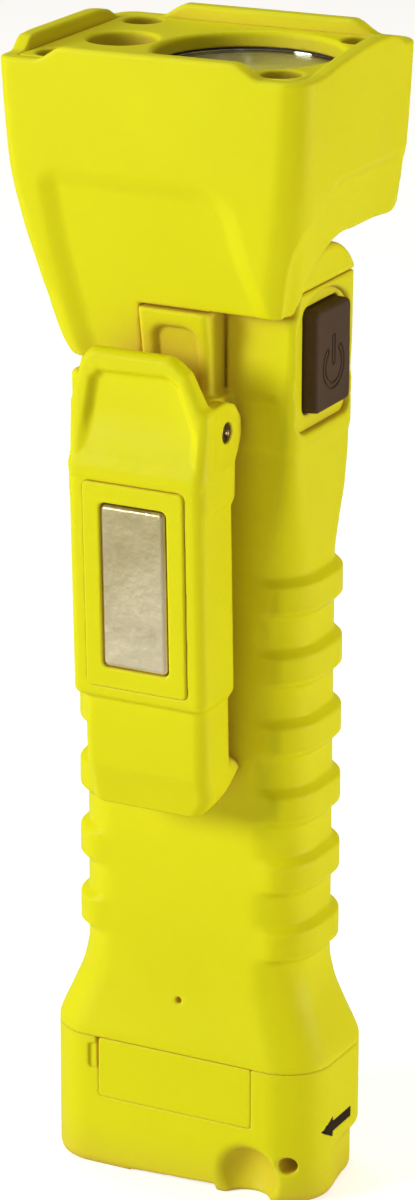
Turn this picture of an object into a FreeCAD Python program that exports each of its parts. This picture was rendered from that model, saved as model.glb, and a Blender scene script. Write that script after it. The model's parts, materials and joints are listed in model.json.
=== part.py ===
import FreeCAD, Part
import math
import os

from FreeCAD import Vector

# A right-angle firefighter's flashlight with a tilting head, a spring clip with a magnet,
# a side push button and a sliding battery cap.  Millimetres.
# Origin: centre of the base.  +Z runs up to the lamp, +X is the button side, -Y is the clip side.

# ---------------------------------------------------------------- driving dimensions
HEIGHT = 194.4
GAP = 0.15                # sliding clearance between neighbouring mouldings
RUNNING = 0.05            # radial clearance of a turning fit

TAIL_HALF_W = 25.15
TAIL_HALF_D = 12.7
TAIL_CORNER = 9.0
CAP_TOP_Z = 23.6          # parting plane between battery cap and grip
FLARE_LOW_Z = 24.4
FLARE_TOP_Z = 40.0

GRIP_HALF_W = 20.2
GRIP_HALF_D = 10.5
GRIP_CORNER = 8.4
RIB_COUNT = 6
RIB_PITCH = 12.0
RIB_FIRST_Z = 45.1
RIB_HEIGHT = 6.8
RIB_RELIEF = 1.35
RIB_SIDE_X = 15.5         # ribs wrap the corners and end here on the wide faces

NECK_LOW_Z = 110.0
NECK_TOP_Z = 127.0
NECK_HALF_W = 20.5
NECK_FRONT = -11.0
NECK_BACK = 10.8
NECK_CORNER = 3.2
SHOULDER_Z = 138.8

PIVOT_Y = 1.25            # tilt axis of the head, parallel to X
PIVOT_Z = 150.5
BARREL_R = 11.0
BARREL_LEFT = -20.5
BARREL_RIGHT = 8.0
CHEEK_LEFT = 8.3
CHEEK_FRONT_TOP = 152.3
AXLE_R = 3.0
AXLE_BORE_R = 1.8

HEAD_RIM_Z = 191.6
HEAD_BACK = 20.2
HOOD_UNDER_Z = 163.9
HOOD_ARC_R = 13.6          # edge of the hood's side wall round the cheek
SKIRT_Z = 153.0
LOBE_RIGHT = -4.6
HEAD_WALL = 2.6
MAIN_LAMP = (6.75, -0.5)
SIDE_LAMP = (-15.7, -0.5)
MAIN_BORE_R = 15.0
SIDE_BORE_R = 5.6
BEZEL_LOW_Z = 187.0
BEZEL_TOP_Z = 191.6
LENS_SEAT_Z = 189.0
SIDE_SEAT_Z = 187.9         # the small lens sits deeper than the main one
LENS_R = 15.8
SIDE_LENS_R = 6.0
SCREW_X = 19.6
SCREW_Y = 14.3
SCREW_R = 1.15
LAMP_Y = -0.5

BUTTON_FACE_X = 22.0
BUTTON_HALF_D = 6.2
BUTTON_LOW_Z = 135.5
BUTTON_TOP_Z = 152.4
BEZEL_RING = (-9.8, 9.0, 132.6, 154.9)   # front, back, low, top of the switch surround
SWITCH_POCKET = (10.5, 17.6)

PIN_Y = -17.5             # clip hinge pin, parallel to X
PIN_Z = 134.4
PIN_R = 1.5
EAR_R = 5.0
CLIP_HALF_W = 12.0
CLIP_TILT_DEG = 2.18      # the clip plate leans outwards towards its hinge
CLIP_FACE_Y = -25.8       # outer face of the plate at CLIP_MID_Z
CLIP_MID_Z = 102.0
LUG_HALF_W = 9.5
MAGNET_HALF_W = 5.7
MAGNET_LOW_Z = 95.5
MAGNET_TOP_Z = 122.8

CELL_R = 7.25
CELL_PITCH = 14.9
CELL_LENGTH = 50.5
CELL_NUB = 1.0
CELL_LOW_Z = 23.8
POCKET_HALF_W = 17.6
POCKET_HALF_D = 8.3
POCKET_TOP_Z = 130.5

RAIL_X = (19.6, 21.0, 22.6)   # stem inner, stem outer, foot outer
RAIL_Z = (17.6, 19.6)         # foot bottom, foot top
CAP_BAY_Z = 21.8              # floor of the contact bay in the cap
RAIL_HALF_D = 6.5
LATCH_HALF_W = 14.3
LATCH_LOW_Z = 13.0
LATCH_TOP_Z = 23.6
LATCH_THICK = 1.7
LATCH_PIN_Y = -11.9
LATCH_PIN_Z = 14.2
LATCH_PIN_R = 0.5
CORD_HOLE = (20.5, 7.0)       # X and Z of the lanyard hole, which runs along Y
CORD_HOLE_R = 1.5
NOTCH_DEPTH = 0.85
VENT_Z = 32.7                 # pinhole vent in the front of the flare

os.makedirs("parts", exist_ok=True)


# ---------------------------------------------------------------- small tools
def box(x0, x1, y0, y1, z0, z1):
    """Block between two corners."""
    return Part.makeBox(x1 - x0, y1 - y0, z1 - z0, Vector(x0, y0, z0))


def rod_x(x0, x1, y, z, radius):
    """Round bar along X."""
    return Part.makeCylinder(radius, x1 - x0, Vector(x0, y, z), Vector(1, 0, 0))


def rod_y(y0, y1, x, z, radius):
    """Round bar along Y."""
    return Part.makeCylinder(radius, y1 - y0, Vector(x, y0, z), Vector(0, 1, 0))


def rod_z(z0, z1, x, y, radius):
    """Round bar along Z."""
    return Part.makeCylinder(radius, z1 - z0, Vector(x, y, z0), Vector(0, 0, 1))


def rounded_wire(u0, u1, v0, v1, corners, place):
    """Rounded rectangle; corners are the radii from (u0, v0) anticlockwise; place maps (u, v) to space."""
    centres = [
        (u0 + corners[0], v0 + corners[0], corners[0], 180),
        (u1 - corners[1], v0 + corners[1], corners[1], 270),
        (u1 - corners[2], v1 - corners[2], corners[2], 0),
        (u0 + corners[3], v1 - corners[3], corners[3], 90),
    ]
    arcs = []
    for u, v, r, start in centres:
        points = []
        for step in (0, 45, 90):
            a = math.radians(start + step)
            points.append(place(u + r * math.cos(a), v + r * math.sin(a)))
        arcs.append(points)
    edges = []
    for i, arc in enumerate(arcs):
        edges.append(Part.Arc(*arc).toShape())
        following = arcs[(i + 1) % len(arcs)][0]
        edges.append(Part.LineSegment(arc[2], following).toShape())
    return Part.Wire(edges)


def slab_z(x0, x1, y0, y1, r, z0, z1):
    """Upright prism on a rounded rectangle."""
    wire = rounded_wire(x0, x1, y0, y1, [r] * 4, lambda u, v: Vector(u, v, z0))
    return Part.Face(wire).extrude(Vector(0, 0, z1 - z0))


def slab_x(y0, y1, z0, z1, corners, x0, x1):
    """Prism along X on a rounded rectangle in the YZ plane."""
    wire = rounded_wire(y0, y1, z0, z1, corners, lambda u, v: Vector(x0, u, v))
    return Part.Face(wire).extrude(Vector(x1 - x0, 0, 0))


def tower(sections):
    """Straight-sided solid through rounded rectangles (z, left, right, front, back, corner)."""
    wires = []
    for z, left, right, front, back, r in sections:
        wires.append(rounded_wire(left, right, front, back, [r] * 4, lambda u, v, z=z: Vector(u, v, z)))
    return Part.makeLoft(wires, True, True)


def prism_x(points, x0, x1):
    """Polygon of (y, z) points extruded along X."""
    corners = [Vector(x0, y, z) for y, z in points]
    return Part.Face(Part.makePolygon(corners + corners[:1])).extrude(Vector(x1 - x0, 0, 0))


def prism_y(points, y0, y1):
    """Polygon of (x, z) points extruded along Y."""
    corners = [Vector(x, y0, z) for x, z in points]
    return Part.Face(Part.makePolygon(corners + corners[:1])).extrude(Vector(0, y1 - y0, 0))


def turned(points, x, y):
    """Closed (radius, z) outline turned about the upright axis through (x, y)."""
    corners = [Vector(x + r, y, z) for r, z in points]
    face = Part.Face(Part.makePolygon(corners + corners[:1]))
    return face.revolve(Vector(x, y, 0), Vector(0, 0, 1), 360)


def union(first, *others):
    """Fuses solids and merges their shared faces."""
    return first.fuse(list(others)).removeSplitter()


def save(name, shape):
    """Writes one named piece, checked to be whole."""
    if shape.ShapeType == "Compound" and len(shape.Solids) == 1:
        shape = shape.Solids[0]
    if not shape.isValid() or not shape.Solids:
        raise ValueError(name + " isn't a sound solid")
    shape.exportStep("parts/" + name + ".step")


# ---------------------------------------------------------------- grip and neck
def grip_core():
    """Flare, grip and neck up to the shoulder, without ribs."""
    flare_w = (TAIL_HALF_W - GRIP_HALF_W)
    flare_d = (TAIL_HALF_D - GRIP_HALF_D)
    sections = []
    for z, share in ((CAP_TOP_Z, 1.0), (FLARE_LOW_Z, 1.0), (28.5, 0.78), (34.0, 0.38), (FLARE_TOP_Z, 0.0)):
        w = GRIP_HALF_W + flare_w * share
        d = GRIP_HALF_D + flare_d * share
        r = GRIP_CORNER + (TAIL_CORNER - GRIP_CORNER) * share
        sections.append((z, -w, w, -d, d, r))
    sections.append((NECK_LOW_Z, -GRIP_HALF_W, GRIP_HALF_W, -GRIP_HALF_D, GRIP_HALF_D, GRIP_CORNER))
    for z in (NECK_TOP_Z, SHOULDER_Z):
        sections.append((z, -NECK_HALF_W, NECK_HALF_W, NECK_FRONT, NECK_BACK, NECK_CORNER))
    return tower(sections)


def ribs():
    """Grip ribs on both narrow sides, with chamfered ends."""
    solids = []
    half = RIB_HEIGHT / 2
    chamfer = 1.2
    for i in range(RIB_COUNT):
        middle = RIB_FIRST_Z + i * RIB_PITCH
        sections = []
        for dz, relief in ((-half, 0.05), (-half + chamfer, 1.0), (half - chamfer, 1.0), (half, 0.05)):
            w = GRIP_HALF_W + RIB_RELIEF * relief
            d = GRIP_HALF_D + 0.6 * relief
            sections.append((middle + dz, -w, w, -d, d, GRIP_CORNER))
        ring = tower(sections)
        solids.append(ring.cut(box(-RIB_SIDE_X, RIB_SIDE_X, -30, 30, middle - half - 1, middle + half + 1)))
    return solids


def cheek():
    """Fixed half of the head hinge, on the button side."""
    upright = slab_z(CHEEK_LEFT, NECK_HALF_W, NECK_FRONT, NECK_BACK, 1.0, SHOULDER_Z - 6, CHEEK_FRONT_TOP)
    arch = rod_x(CHEEK_LEFT, NECK_HALF_W, PIVOT_Y, PIVOT_Z, BARREL_R)
    return union(upright, arch).cut(box(-30, 30, NECK_BACK, 40, SHOULDER_Z, HEIGHT))


def hinge_cover_solid():
    """Cover over the top of the cheek's outer face."""
    disc = rod_x(18.4, NECK_HALF_W, PIVOT_Y, PIVOT_Z, BARREL_R)
    return disc.common(box(18.4, 30, NECK_FRONT, NECK_BACK, 155.5, 170))


def clip_lugs():
    """Two fixed lugs that hold the clip pin, and the boss above them."""
    lug = union(
        rod_x(-LUG_HALF_W, LUG_HALF_W, PIN_Y, PIN_Z, EAR_R - 0.2),
        box(-LUG_HALF_W, LUG_HALF_W, PIN_Y, NECK_FRONT + 1, PIN_Z - 4.8, PIN_Z + 4.8),
    )
    spring_room = box(-3.9, 3.9, PIN_Y - EAR_R, NECK_FRONT - 0.8, PIN_Z - 6, PIN_Z + 4.9)
    boss = slab_z(LOBE_RIGHT, 7.0, -18.0, -10.6, 0.8, PIN_Z + 3.5, 152.6)
    boss_pocket = box(-2.4, 4.0, -18.5, -16.5, 146.0, 150.0)
    foot = box(LOBE_RIGHT, 7.0, -12.5, NECK_FRONT + 1, PIN_Z, SHOULDER_Z)
    return union(lug.cut(spring_room), boss.cut(boss_pocket), foot)


def rail(side, grow):
    """L-shaped rail that the battery cap slides on; grow is the clearance added all round."""
    inner, stem, foot = RAIL_X
    low, top = RAIL_Z
    outline = [
        (inner - grow, CAP_TOP_Z + 0.5),
        (inner - grow, low - grow),
        (foot + grow, low - grow),
        (foot + grow, top + grow),
        (stem + grow, top + grow),
        (stem + grow, CAP_TOP_Z + 0.5),
    ]
    back = TAIL_HALF_D + 1 if grow else RAIL_HALF_D
    return prism_y([(side * x, z) for x, z in outline], -RAIL_HALF_D - grow, back)


def gasket_ring(inner_w, outer_w, inner_d, outer_d, z0, z1):
    """Flat rounded ring round the battery mouth."""
    outer = slab_z(-outer_w, outer_w, -outer_d, outer_d, outer_d - 0.5, z0, z1)
    return outer.cut(slab_z(-inner_w, inner_w, -inner_d, inner_d, inner_d - 0.5, z0 - 1, z1 + 1))


def switch_surround(x0, x1, shrink):
    """Outline of the recess round the button: square below, arched above."""
    front, back, low, top = BEZEL_RING
    corners = [2.5, 2.5, 6.0, 6.0]
    return slab_x(front + shrink, back - shrink, low + shrink, top - shrink, corners, x0, x1)


def latch_pocket(z0, z1):
    """Room for the front latch plate."""
    return box(-LATCH_HALF_W - GAP, LATCH_HALF_W + GAP, -20, -TAIL_HALF_D + LATCH_THICK + 0.4, z0, z1)


def grip_housing():
    """One-piece grip: battery tube, neck, cheek, clip lugs and cap rails."""
    solid = union(grip_core(), *ribs(), cheek(), clip_lugs(), rail(1, 0), rail(-1, 0))
    cuts = [
        slab_z(-POCKET_HALF_W, POCKET_HALF_W, -POCKET_HALF_D, POCKET_HALF_D, 8.0, CAP_TOP_Z - 1, POCKET_TOP_Z),
        gasket_ring(17.9, 19.3, 8.7, 10.1, CAP_TOP_Z - 0.5, CAP_TOP_Z + 1.0),
        slab_z(-15.0, 17.0, -8.5, 8.0, 2.0, POCKET_TOP_Z - 0.1, 137.0),
        slab_x(-9.2, 8.4, 131.0, 155.2, [1.0, 1.0, 4.0, 4.0], *SWITCH_POCKET),
        switch_surround(SWITCH_POCKET[1] - 0.1, 30, 0.0),
        hinge_cover_solid(),
        rod_x(CHEEK_LEFT - 1, SWITCH_POCKET[0] + 1, PIVOT_Y, PIVOT_Z, AXLE_R),
        rod_x(-30, 30, PIN_Y, PIN_Z, PIN_R),
        latch_pocket(CAP_TOP_Z - 1, LATCH_TOP_Z + GAP),
        rod_y(-20, -TAIL_HALF_D + 3.2, 0.0, VENT_Z, 0.5),
    ]
    return solid.cut(cuts)


# ---------------------------------------------------------------- battery bay
def cell_columns():
    """Centres of the two columns of cells."""
    return (-CELL_PITCH / 2, CELL_PITCH / 2)


def battery_cells():
    """Four AA cells, two columns of two, in opposite directions."""
    cells = []
    for column, x in enumerate(cell_columns()):
        for row in range(2):
            z = CELL_LOW_Z + row * CELL_LENGTH
            body_z = z if column == 0 else z + CELL_NUB
            nub_z = z + CELL_LENGTH - CELL_NUB if column == 0 else z
            can = rod_z(body_z, body_z + CELL_LENGTH - CELL_NUB, x, 0, CELL_R)
            nub = rod_z(nub_z, nub_z + CELL_NUB, x, 0, 2.75)
            cells.append(can.fuse(nub).removeSplitter())
    return Part.makeCompound(cells)


def battery_sleeve():
    """Plastic liner that guides the two columns of cells."""
    outer = slab_z(-17.5, 17.5, -8.2, 8.2, 7.9, 24.2, 128.5)
    bore = slab_z(-14.9, 14.9, -7.4, 7.4, 7.35, 22, 130)
    return outer.cut(bore)


def cell_springs():
    """Two coil springs that press on the top cells."""
    coils = []
    turns, rise, coil_r, wire_r = 5, 3.8, 3.4, 0.3
    for x in cell_columns():
        path = Part.makeHelix(rise / turns, rise, coil_r)
        profile = Part.Wire(Part.makeCircle(wire_r, Vector(coil_r, 0, 0), Vector(0, 1, 0)))
        coil = Part.Wire(path).makePipeShell([profile], True, True)
        coil.translate(Vector(x, 0, CELL_LOW_Z + 2 * CELL_LENGTH + 0.4))
        coils.append(coil)
    return Part.makeCompound(coils)


# ---------------------------------------------------------------- battery cap
def cap_body():
    """Battery cap with a chamfered foot."""
    w, d, r = TAIL_HALF_W, TAIL_HALF_D, TAIL_CORNER
    return tower([
        (0.0, -w + 0.7, w - 0.7, -d + 0.6, d - 0.6, r - 0.6),
        (1.2, -w, w, -d, d, r),
        (CAP_TOP_Z, -w, w, -d, d, r),
    ])


def arrow_outline():
    """Direction arrow on the button side, pointing the way the cap slides off."""
    middle, tip, neck, end = 12.1, -6.9, -4.1, 3.3
    return [(tip, middle), (neck, middle + 1.9), (neck, middle + 0.95), (end, middle + 0.95),
            (end, middle - 0.95), (neck, middle - 0.95), (neck, middle - 1.9)]


def arrow_mark():
    """Dark inlay, flush with the cap."""
    return prism_x(arrow_outline(), TAIL_HALF_W - 0.8, 30).common(cap_body())


def cap_notch(side):
    """Shallow step under the long edge of the cap, which leaves a foot at each end."""
    return box(-8.6, 7.7, min(side * 6.0, side * 20.0), max(side * 6.0, side * 20.0), -1, NOTCH_DEPTH)


def scoop(side):
    """Finger scoop beside the lanyard hole."""
    return Part.makeSphere(9.0, Vector(14.5, side * 19.3, 3.0))


def tail_cap():
    """Sliding battery cap, with its rail slots, contact bay, latch pocket and lanyard hole."""
    x, z = CORD_HOLE
    cuts = [
        rail(1, GAP),
        rail(-1, GAP),
        slab_z(-17.0, 17.0, -8.0, 8.0, 6.0, CAP_BAY_Z, 30),
        slab_z(-15.5, 15.5, -7.0, 7.0, 5.0, 4.0, CAP_BAY_Z + 0.2),
        latch_pocket(LATCH_LOW_Z - GAP, 30),
        box(-LATCH_HALF_W - 0.8, -LATCH_HALF_W, -20, -TAIL_HALF_D + LATCH_THICK, 17.7, 30),
        rod_x(-15.6, 15.6, LATCH_PIN_Y, LATCH_PIN_Z, LATCH_PIN_R),
        rod_y(-30, 30, x, z, CORD_HOLE_R),
        prism_x(arrow_outline(), TAIL_HALF_W - 0.8, 30),
        cap_notch(1),
        cap_notch(-1),
        scoop(1),
        scoop(-1),
    ]
    return cap_body().cut(cuts)


def door_latch():
    """Front latch plate, hinged at its lower edge."""
    front = -TAIL_HALF_D
    plate = box(-LATCH_HALF_W, LATCH_HALF_W, front, front + LATCH_THICK, LATCH_LOW_Z, LATCH_TOP_Z)
    low_edges = [e for e in plate.Edges if e.BoundBox.ZMax < LATCH_LOW_Z + 0.1 and e.BoundBox.XLength > 5]
    plate = plate.makeFillet(0.7, low_edges)
    return plate.cut(rod_x(-30, 30, LATCH_PIN_Y, LATCH_PIN_Z, LATCH_PIN_R + RUNNING))


# ---------------------------------------------------------------- switch
def switch_bezel():
    """Frame round the button."""
    ring = switch_surround(SWITCH_POCKET[1], 19.6, 0.1)
    window = slab_x(-6.5, 6.5, 135.2, 152.7, [1.4] * 4, 10, 30)
    return ring.cut(window)


def power_button():
    """Push button cap."""
    cap = slab_x(-BUTTON_HALF_D, BUTTON_HALF_D, BUTTON_LOW_Z, BUTTON_TOP_Z, [1.2] * 4, 18.2, BUTTON_FACE_X)
    rim = [e for e in cap.Edges if e.BoundBox.XMin > BUTTON_FACE_X - 0.05]
    return cap.makeFillet(0.5, rim)


# ---------------------------------------------------------------- head
def head_outer():
    """Outside of the head before it is cut to shape."""
    profile = (
        (139.4, 20.5, -13.0, 5.0),
        (145.0, 20.5, -15.5, 6.0),
        (150.6, 21.6, -16.5, 6.0),
        (156.0, 23.2, -17.5, 6.0),
        (163.0, 24.4, -19.0, 6.0),
        (174.6, 26.0, -20.8, 5.0),
        (HEAD_RIM_Z, 27.0, -21.5, 4.0),
    )
    return tower([(z, -half, half, front, HEAD_BACK, r) for z, half, front, r in profile])


def rim_walls():
    """Four raised lips that stand above the corners of the rim."""
    ring = slab_z(-26.9, 26.9, -21.4, HEAD_BACK - 0.1, 4.0, HEAD_RIM_Z - 1, HEIGHT)
    ring = ring.cut(slab_z(-27 + HEAD_WALL, 27 - HEAD_WALL, -21.5 + HEAD_WALL, HEAD_BACK - HEAD_WALL, 3.0,
                           HEAD_RIM_Z - 3, HEIGHT + 1))
    low, top = HEAD_RIM_Z - 1, HEIGHT + 0.5
    wide = prism_y([(-19.6, low), (-15.6, top), (15.0, top), (19.0, low)], -30, 30)
    left = prism_x([(-17.6, low), (-13.6, top), (9.6, top), (15.2, low)], -30, -22)
    right = prism_x([(-16.6, low), (-11.5, 192.5), (-4.0, 193.9), (1.0, top), (10.0, top), (16.0, low)], 22, 30)
    return ring.common(wide.cut(box(-30, 30, -17, 16, 180, 200)).fuse([left, right]))


def head_underside():
    """Everything below the hood that the head leaves free for the body and the fold."""
    far = 60.0
    arc_room = rod_x(BARREL_RIGHT, far, PIVOT_Y, PIVOT_Z, HOOD_ARC_R)
    button_side = box(BARREL_RIGHT, far, -far, far, 100, SKIRT_Z)
    button_back = box(BARREL_RIGHT, far, PIVOT_Y, far, 100, HOOD_UNDER_Z)
    behind = box(-far, far, PIVOT_Y + BARREL_R, far, 100, HOOD_UNDER_Z)
    boss_room = box(LOBE_RIGHT, BARREL_RIGHT + 1, -far, -10.2, 100, SKIRT_Z)
    barrel_void = box(-far, far, -far, far, 100, PIVOT_Z).cut(
        rod_x(-far, far, PIVOT_Y, PIVOT_Z, BARREL_R).fuse(box(-far, LOBE_RIGHT, -far, PIVOT_Y, 142.5, 160)))
    return [arc_room, button_side, button_back, behind, boss_room, barrel_void]


def head_housing():
    """Hood, hinge barrel and rim in one moulding."""
    barrel = rod_x(BARREL_LEFT, BARREL_RIGHT, PIVOT_Y, PIVOT_Z, BARREL_R)
    solid = union(head_outer().cut(head_underside()), barrel, rim_walls())
    cuts = [
        slab_z(-27 + HEAD_WALL, 27 - HEAD_WALL, -21.5 + HEAD_WALL, HEAD_BACK - HEAD_WALL, 3.0, BEZEL_LOW_Z, 200),
        tower([
            (167.0, -19.5, 20.5, -13.5, 15.5, 4.0),
            (BEZEL_LOW_Z + 0.1, -23.2, 23.8, -17.6, 16.4, 4.0),
        ]),
        rod_x(-30, 1.0, PIVOT_Y, PIVOT_Z, 8.8),
        rod_x(0, 9, PIVOT_Y, PIVOT_Z, AXLE_R + RUNNING),
        rod_x(6.2, 9, PIVOT_Y, PIVOT_Z, 4.6),
        box(-16.0, -2.0, -4.0, 6.5, 157.0, 168.0),
    ]
    for x, y in screw_places():
        cuts.append(rod_z(178.0, HEAD_RIM_Z, x, y, SCREW_R))
    return solid.cut(cuts)


def lamp_bore(x, y, radius, seat_r, seat_z):
    """Cutter for one lamp: lens seat from below, bore and flared mouth above."""
    low = BEZEL_LOW_Z - 1
    mouth = BEZEL_TOP_Z - 0.9
    return turned([(0, low), (seat_r, low), (seat_r, seat_z), (radius, seat_z), (radius, mouth),
                   (radius + 1.0, mouth + 1.0), (0, mouth + 1.0)], x, y)


def bezel_plate():
    """Face plate with the two lamp bores and the screw recesses."""
    gap = HEAD_WALL + 0.1
    plate = slab_z(-27 + gap, 27 - gap, -21.5 + gap, HEAD_BACK - gap, 2.9, BEZEL_LOW_Z, BEZEL_TOP_Z)
    x, y = MAIN_LAMP
    sx, sy = SIDE_LAMP
    cuts = [
        lamp_bore(x, y, MAIN_BORE_R, LENS_R + RUNNING, LENS_SEAT_Z),
        lamp_bore(sx, sy, SIDE_BORE_R, SIDE_LENS_R + RUNNING, SIDE_SEAT_Z),
    ]
    for px, py in screw_places():
        cuts.append(rod_z(BEZEL_LOW_Z + 0.9, 200, px, py, 3.0))
        cuts.append(rod_z(BEZEL_LOW_Z - 1, 200, px, py, 1.2))
    return plate.cut(cuts)


def screw_places():
    """Centres of the four bezel screws."""
    return [(sx * SCREW_X, LAMP_Y + sy * SCREW_Y) for sx in (-1, 1) for sy in (-1, 1)]


def bezel_screws():
    """Four socket-head screws."""
    screws = []
    for x, y in screw_places():
        head = rod_z(BEZEL_LOW_Z + 0.9, BEZEL_LOW_Z + 2.3, x, y, 2.5)
        shank = rod_z(178.5, BEZEL_LOW_Z + 1.0, x, y, SCREW_R)
        socket = rod_z(BEZEL_LOW_Z + 1.4, BEZEL_LOW_Z + 3, x, y, 1.1)
        screws.append(union(head, shank).cut(socket))
    return Part.makeCompound(screws)


def reflector(x, y, floor_r, floor_z, top_r, top_z, flange_r):
    """Parabolic cup with a flat flange."""
    wall = 0.7
    steps = 6
    inside = []
    for i in range(steps + 1):
        r = floor_r + (top_r - floor_r) * i / steps
        share = (r * r - floor_r * floor_r) / (top_r * top_r - floor_r * floor_r)
        inside.append((r, floor_z + (top_z - floor_z) * share))
    outside = [(r + wall, z) for r, z in inside[:-1]]
    flange = [(flange_r, top_z), (flange_r, top_z - 1.0), (top_r + wall, top_z - 1.0)]
    return turned(inside + flange + outside[::-1], x, y)


def head_parts():
    """Lamp pieces inside the hood."""
    x, y = MAIN_LAMP
    sx, sy = SIDE_LAMP
    flange_z = 186.8
    lens_z = flange_z + 0.1
    save("main_lens", rod_z(lens_z, LENS_SEAT_Z - 0.3, x, y, LENS_R))
    ring = rod_z(LENS_SEAT_Z - 0.3, LENS_SEAT_Z, x, y, LENS_R)
    save("lens_gasket", ring.cut(rod_z(180, 190, x, y, MAIN_BORE_R)))
    save("main_reflector", reflector(x, y, 3.0, 172.2, 14.2, flange_z, LENS_R))
    save("side_lens", rod_z(lens_z, SIDE_SEAT_Z, sx, sy, SIDE_LENS_R))
    save("side_reflector", reflector(sx, sy, 1.6, 174.8, 4.9, flange_z, SIDE_LENS_R))

    frame = slab_z(-22.3, 23.0, -16.6, 16.0, 4.2, 183.2, flange_z)
    step_z = flange_z - 1.0
    holes = [
        rod_z(170, step_z, x, y, 15.1),
        rod_z(step_z - 0.1, 190, x, y, LENS_R + RUNNING),
        rod_z(170, step_z, sx, sy, 5.8),
        rod_z(step_z - 0.1, 190, sx, sy, SIDE_LENS_R + RUNNING),
    ]
    frame = frame.cut(holes)
    for px, py in screw_places():
        frame = frame.cut(rod_z(170, 200, px, py, 1.3))
    save("lamp_frame", frame)

    plate = rod_z(169.0, 171.2, x, y, 13.0)
    fins = [box(x - 9 + i * 4, x - 7.6 + i * 4, y - 8, y + 8, 167.0, 169.1) for i in range(5)]
    save("heat_sink", union(plate, *fins))
    save("led_board", rod_z(171.2, 172.2, x, y, 9.0))
    dome = Part.makeSphere(1.7, Vector(x, y, 172.9)).common(box(x - 3, x + 3, y - 3, y + 3, 172.9, 176))
    save("main_led", union(box(x - 1.75, x + 1.75, y - 1.75, y + 1.75, 172.2, 172.9), dome))
    side_board = rod_z(173.6, 174.8, sx, sy, 4.2)
    side_chip = box(sx - 1.0, sx + 1.0, sy - 1.0, sy + 1.0, 174.8, 175.6)
    save("side_led", union(side_board, side_chip))


# ---------------------------------------------------------------- head hinge
def hinge_parts():
    """Hollow axle with its flange, nut, spring washer, seal, wires and end cap."""
    inner = SWITCH_POCKET[0]
    axle = union(
        rod_x(-3.5, inner, PIVOT_Y, PIVOT_Z, AXLE_R),
        rod_x(inner, inner + 1.3, PIVOT_Y, PIVOT_Z, 4.2),
    )
    save("hinge_axle", axle.cut(rod_x(-9, 20, PIVOT_Y, PIVOT_Z, AXLE_BORE_R)))
    hex_points = []
    for i in range(6):
        a = math.radians(60 * i)
        hex_points.append((PIVOT_Y + 5.2 * math.cos(a), PIVOT_Z + 5.2 * math.sin(a)))
    nut = prism_x(hex_points, -3.3, -0.6)
    save("axle_nut", nut.cut(rod_x(-9, 9, PIVOT_Y, PIVOT_Z, AXLE_R)))
    washer = rod_x(-0.5, 0.9, PIVOT_Y, PIVOT_Z, 5.6)
    save("friction_washer", washer.cut(rod_x(-9, 9, PIVOT_Y, PIVOT_Z, AXLE_R + RUNNING)))
    seal = rod_x(6.3, 7.8, PIVOT_Y, PIVOT_Z, 4.5)
    save("hinge_seal", seal.cut(rod_x(0, 20, PIVOT_Y, PIVOT_Z, AXLE_R + RUNNING)))
    wires = [rod_x(-5.0, 12.2, PIVOT_Y + dy, PIVOT_Z, 0.6) for dy in (-0.8, 0.8)]
    save("lamp_wires", Part.makeCompound(wires))
    save("barrel_cap", rod_x(BARREL_LEFT, -18.3, PIVOT_Y, PIVOT_Z, 8.7))
    save("hinge_cover", hinge_cover_solid())


# ---------------------------------------------------------------- clip
def leaning(shape):
    """Leans a piece of the clip plate from upright to its real angle."""
    shape.rotate(Vector(0, CLIP_FACE_Y, CLIP_MID_Z), Vector(1, 0, 0), CLIP_TILT_DEG)
    return shape


def clip_plate_blank():
    """Plate, side walls, tongue and jaw of the clip, in its upright position."""
    face = CLIP_FACE_Y
    plate = prism_x([(face, 89.3), (face, 129.7), (-21.5, 132.0), (-14.0, 128.0), (-14.0, 85.0), (face + 2, 87.0)],
                    -CLIP_HALF_W, CLIP_HALF_W)
    tongue = prism_x([(face + 1.7, 90.0), (face + 1.7, 78.0), (-22.0, 69.8), (-20.6, 69.5), (-10.4, 74.9),
                      (-10.4, 76.6), (-14.2, 77.6), (-14.2, 90.0)], -CLIP_HALF_W + 0.8, CLIP_HALF_W - 0.8)
    channel = box(-LUG_HALF_W - 0.3, LUG_HALF_W + 0.3, -22.9, 0, 78.2, 140)
    return leaning(plate.cut(channel)), leaning(tongue.cut(channel))


def clip_lever():
    """Spring-loaded clip with its thumb pad, ears and jaw."""
    plate, tongue = clip_plate_blank()
    ears = rod_x(-CLIP_HALF_W, CLIP_HALF_W, PIN_Y, PIN_Z, EAR_R)
    ear_web = box(-CLIP_HALF_W, CLIP_HALF_W, -25.5, PIN_Y, 127.0, PIN_Z + 2)
    pad = prism_x([(-26.9, 129.6), (-25.6, 134.0), (-24.9, 147.0), (-23.9, 148.2), (-22.1, 147.8), (-21.7, 139.0),
                   (-22.5, 129.6)], -CLIP_HALF_W, CLIP_HALF_W)
    taper = [(-12.0, 120.0), (12.0, 120.0), (12.0, 140.5), (8.6, 146.2), (5.6, 148.4), (-9.0, 148.4), (-12.0, 143.2)]
    pad = pad.common(prism_y(taper, -40, 0))
    solid = union(plate, tongue, ears, ear_web, pad)
    between = LUG_HALF_W + 0.3
    cuts = [
        rod_x(-between, between, PIN_Y, PIN_Z, EAR_R + 0.3),
        box(-between, between, -22.7, -9, 120.0, 139.4),
        rod_x(-30, 30, PIN_Y, PIN_Z, PIN_R + RUNNING),
        leaning(magnet_holder_blank(GAP / 2)),
    ]
    solid = solid.cut(cuts)
    body_gap = box(-30, 30, -10.85, 0, 60, 120)
    return solid.cut(body_gap)


def magnet_holder_blank(grow):
    """Insert that carries the magnet, in its upright position."""
    return box(-9.0 - grow, 9.0 + grow, CLIP_FACE_Y - 0.45, CLIP_FACE_Y + 2.6, 91.8 - grow, 126.3 + grow)


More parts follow.
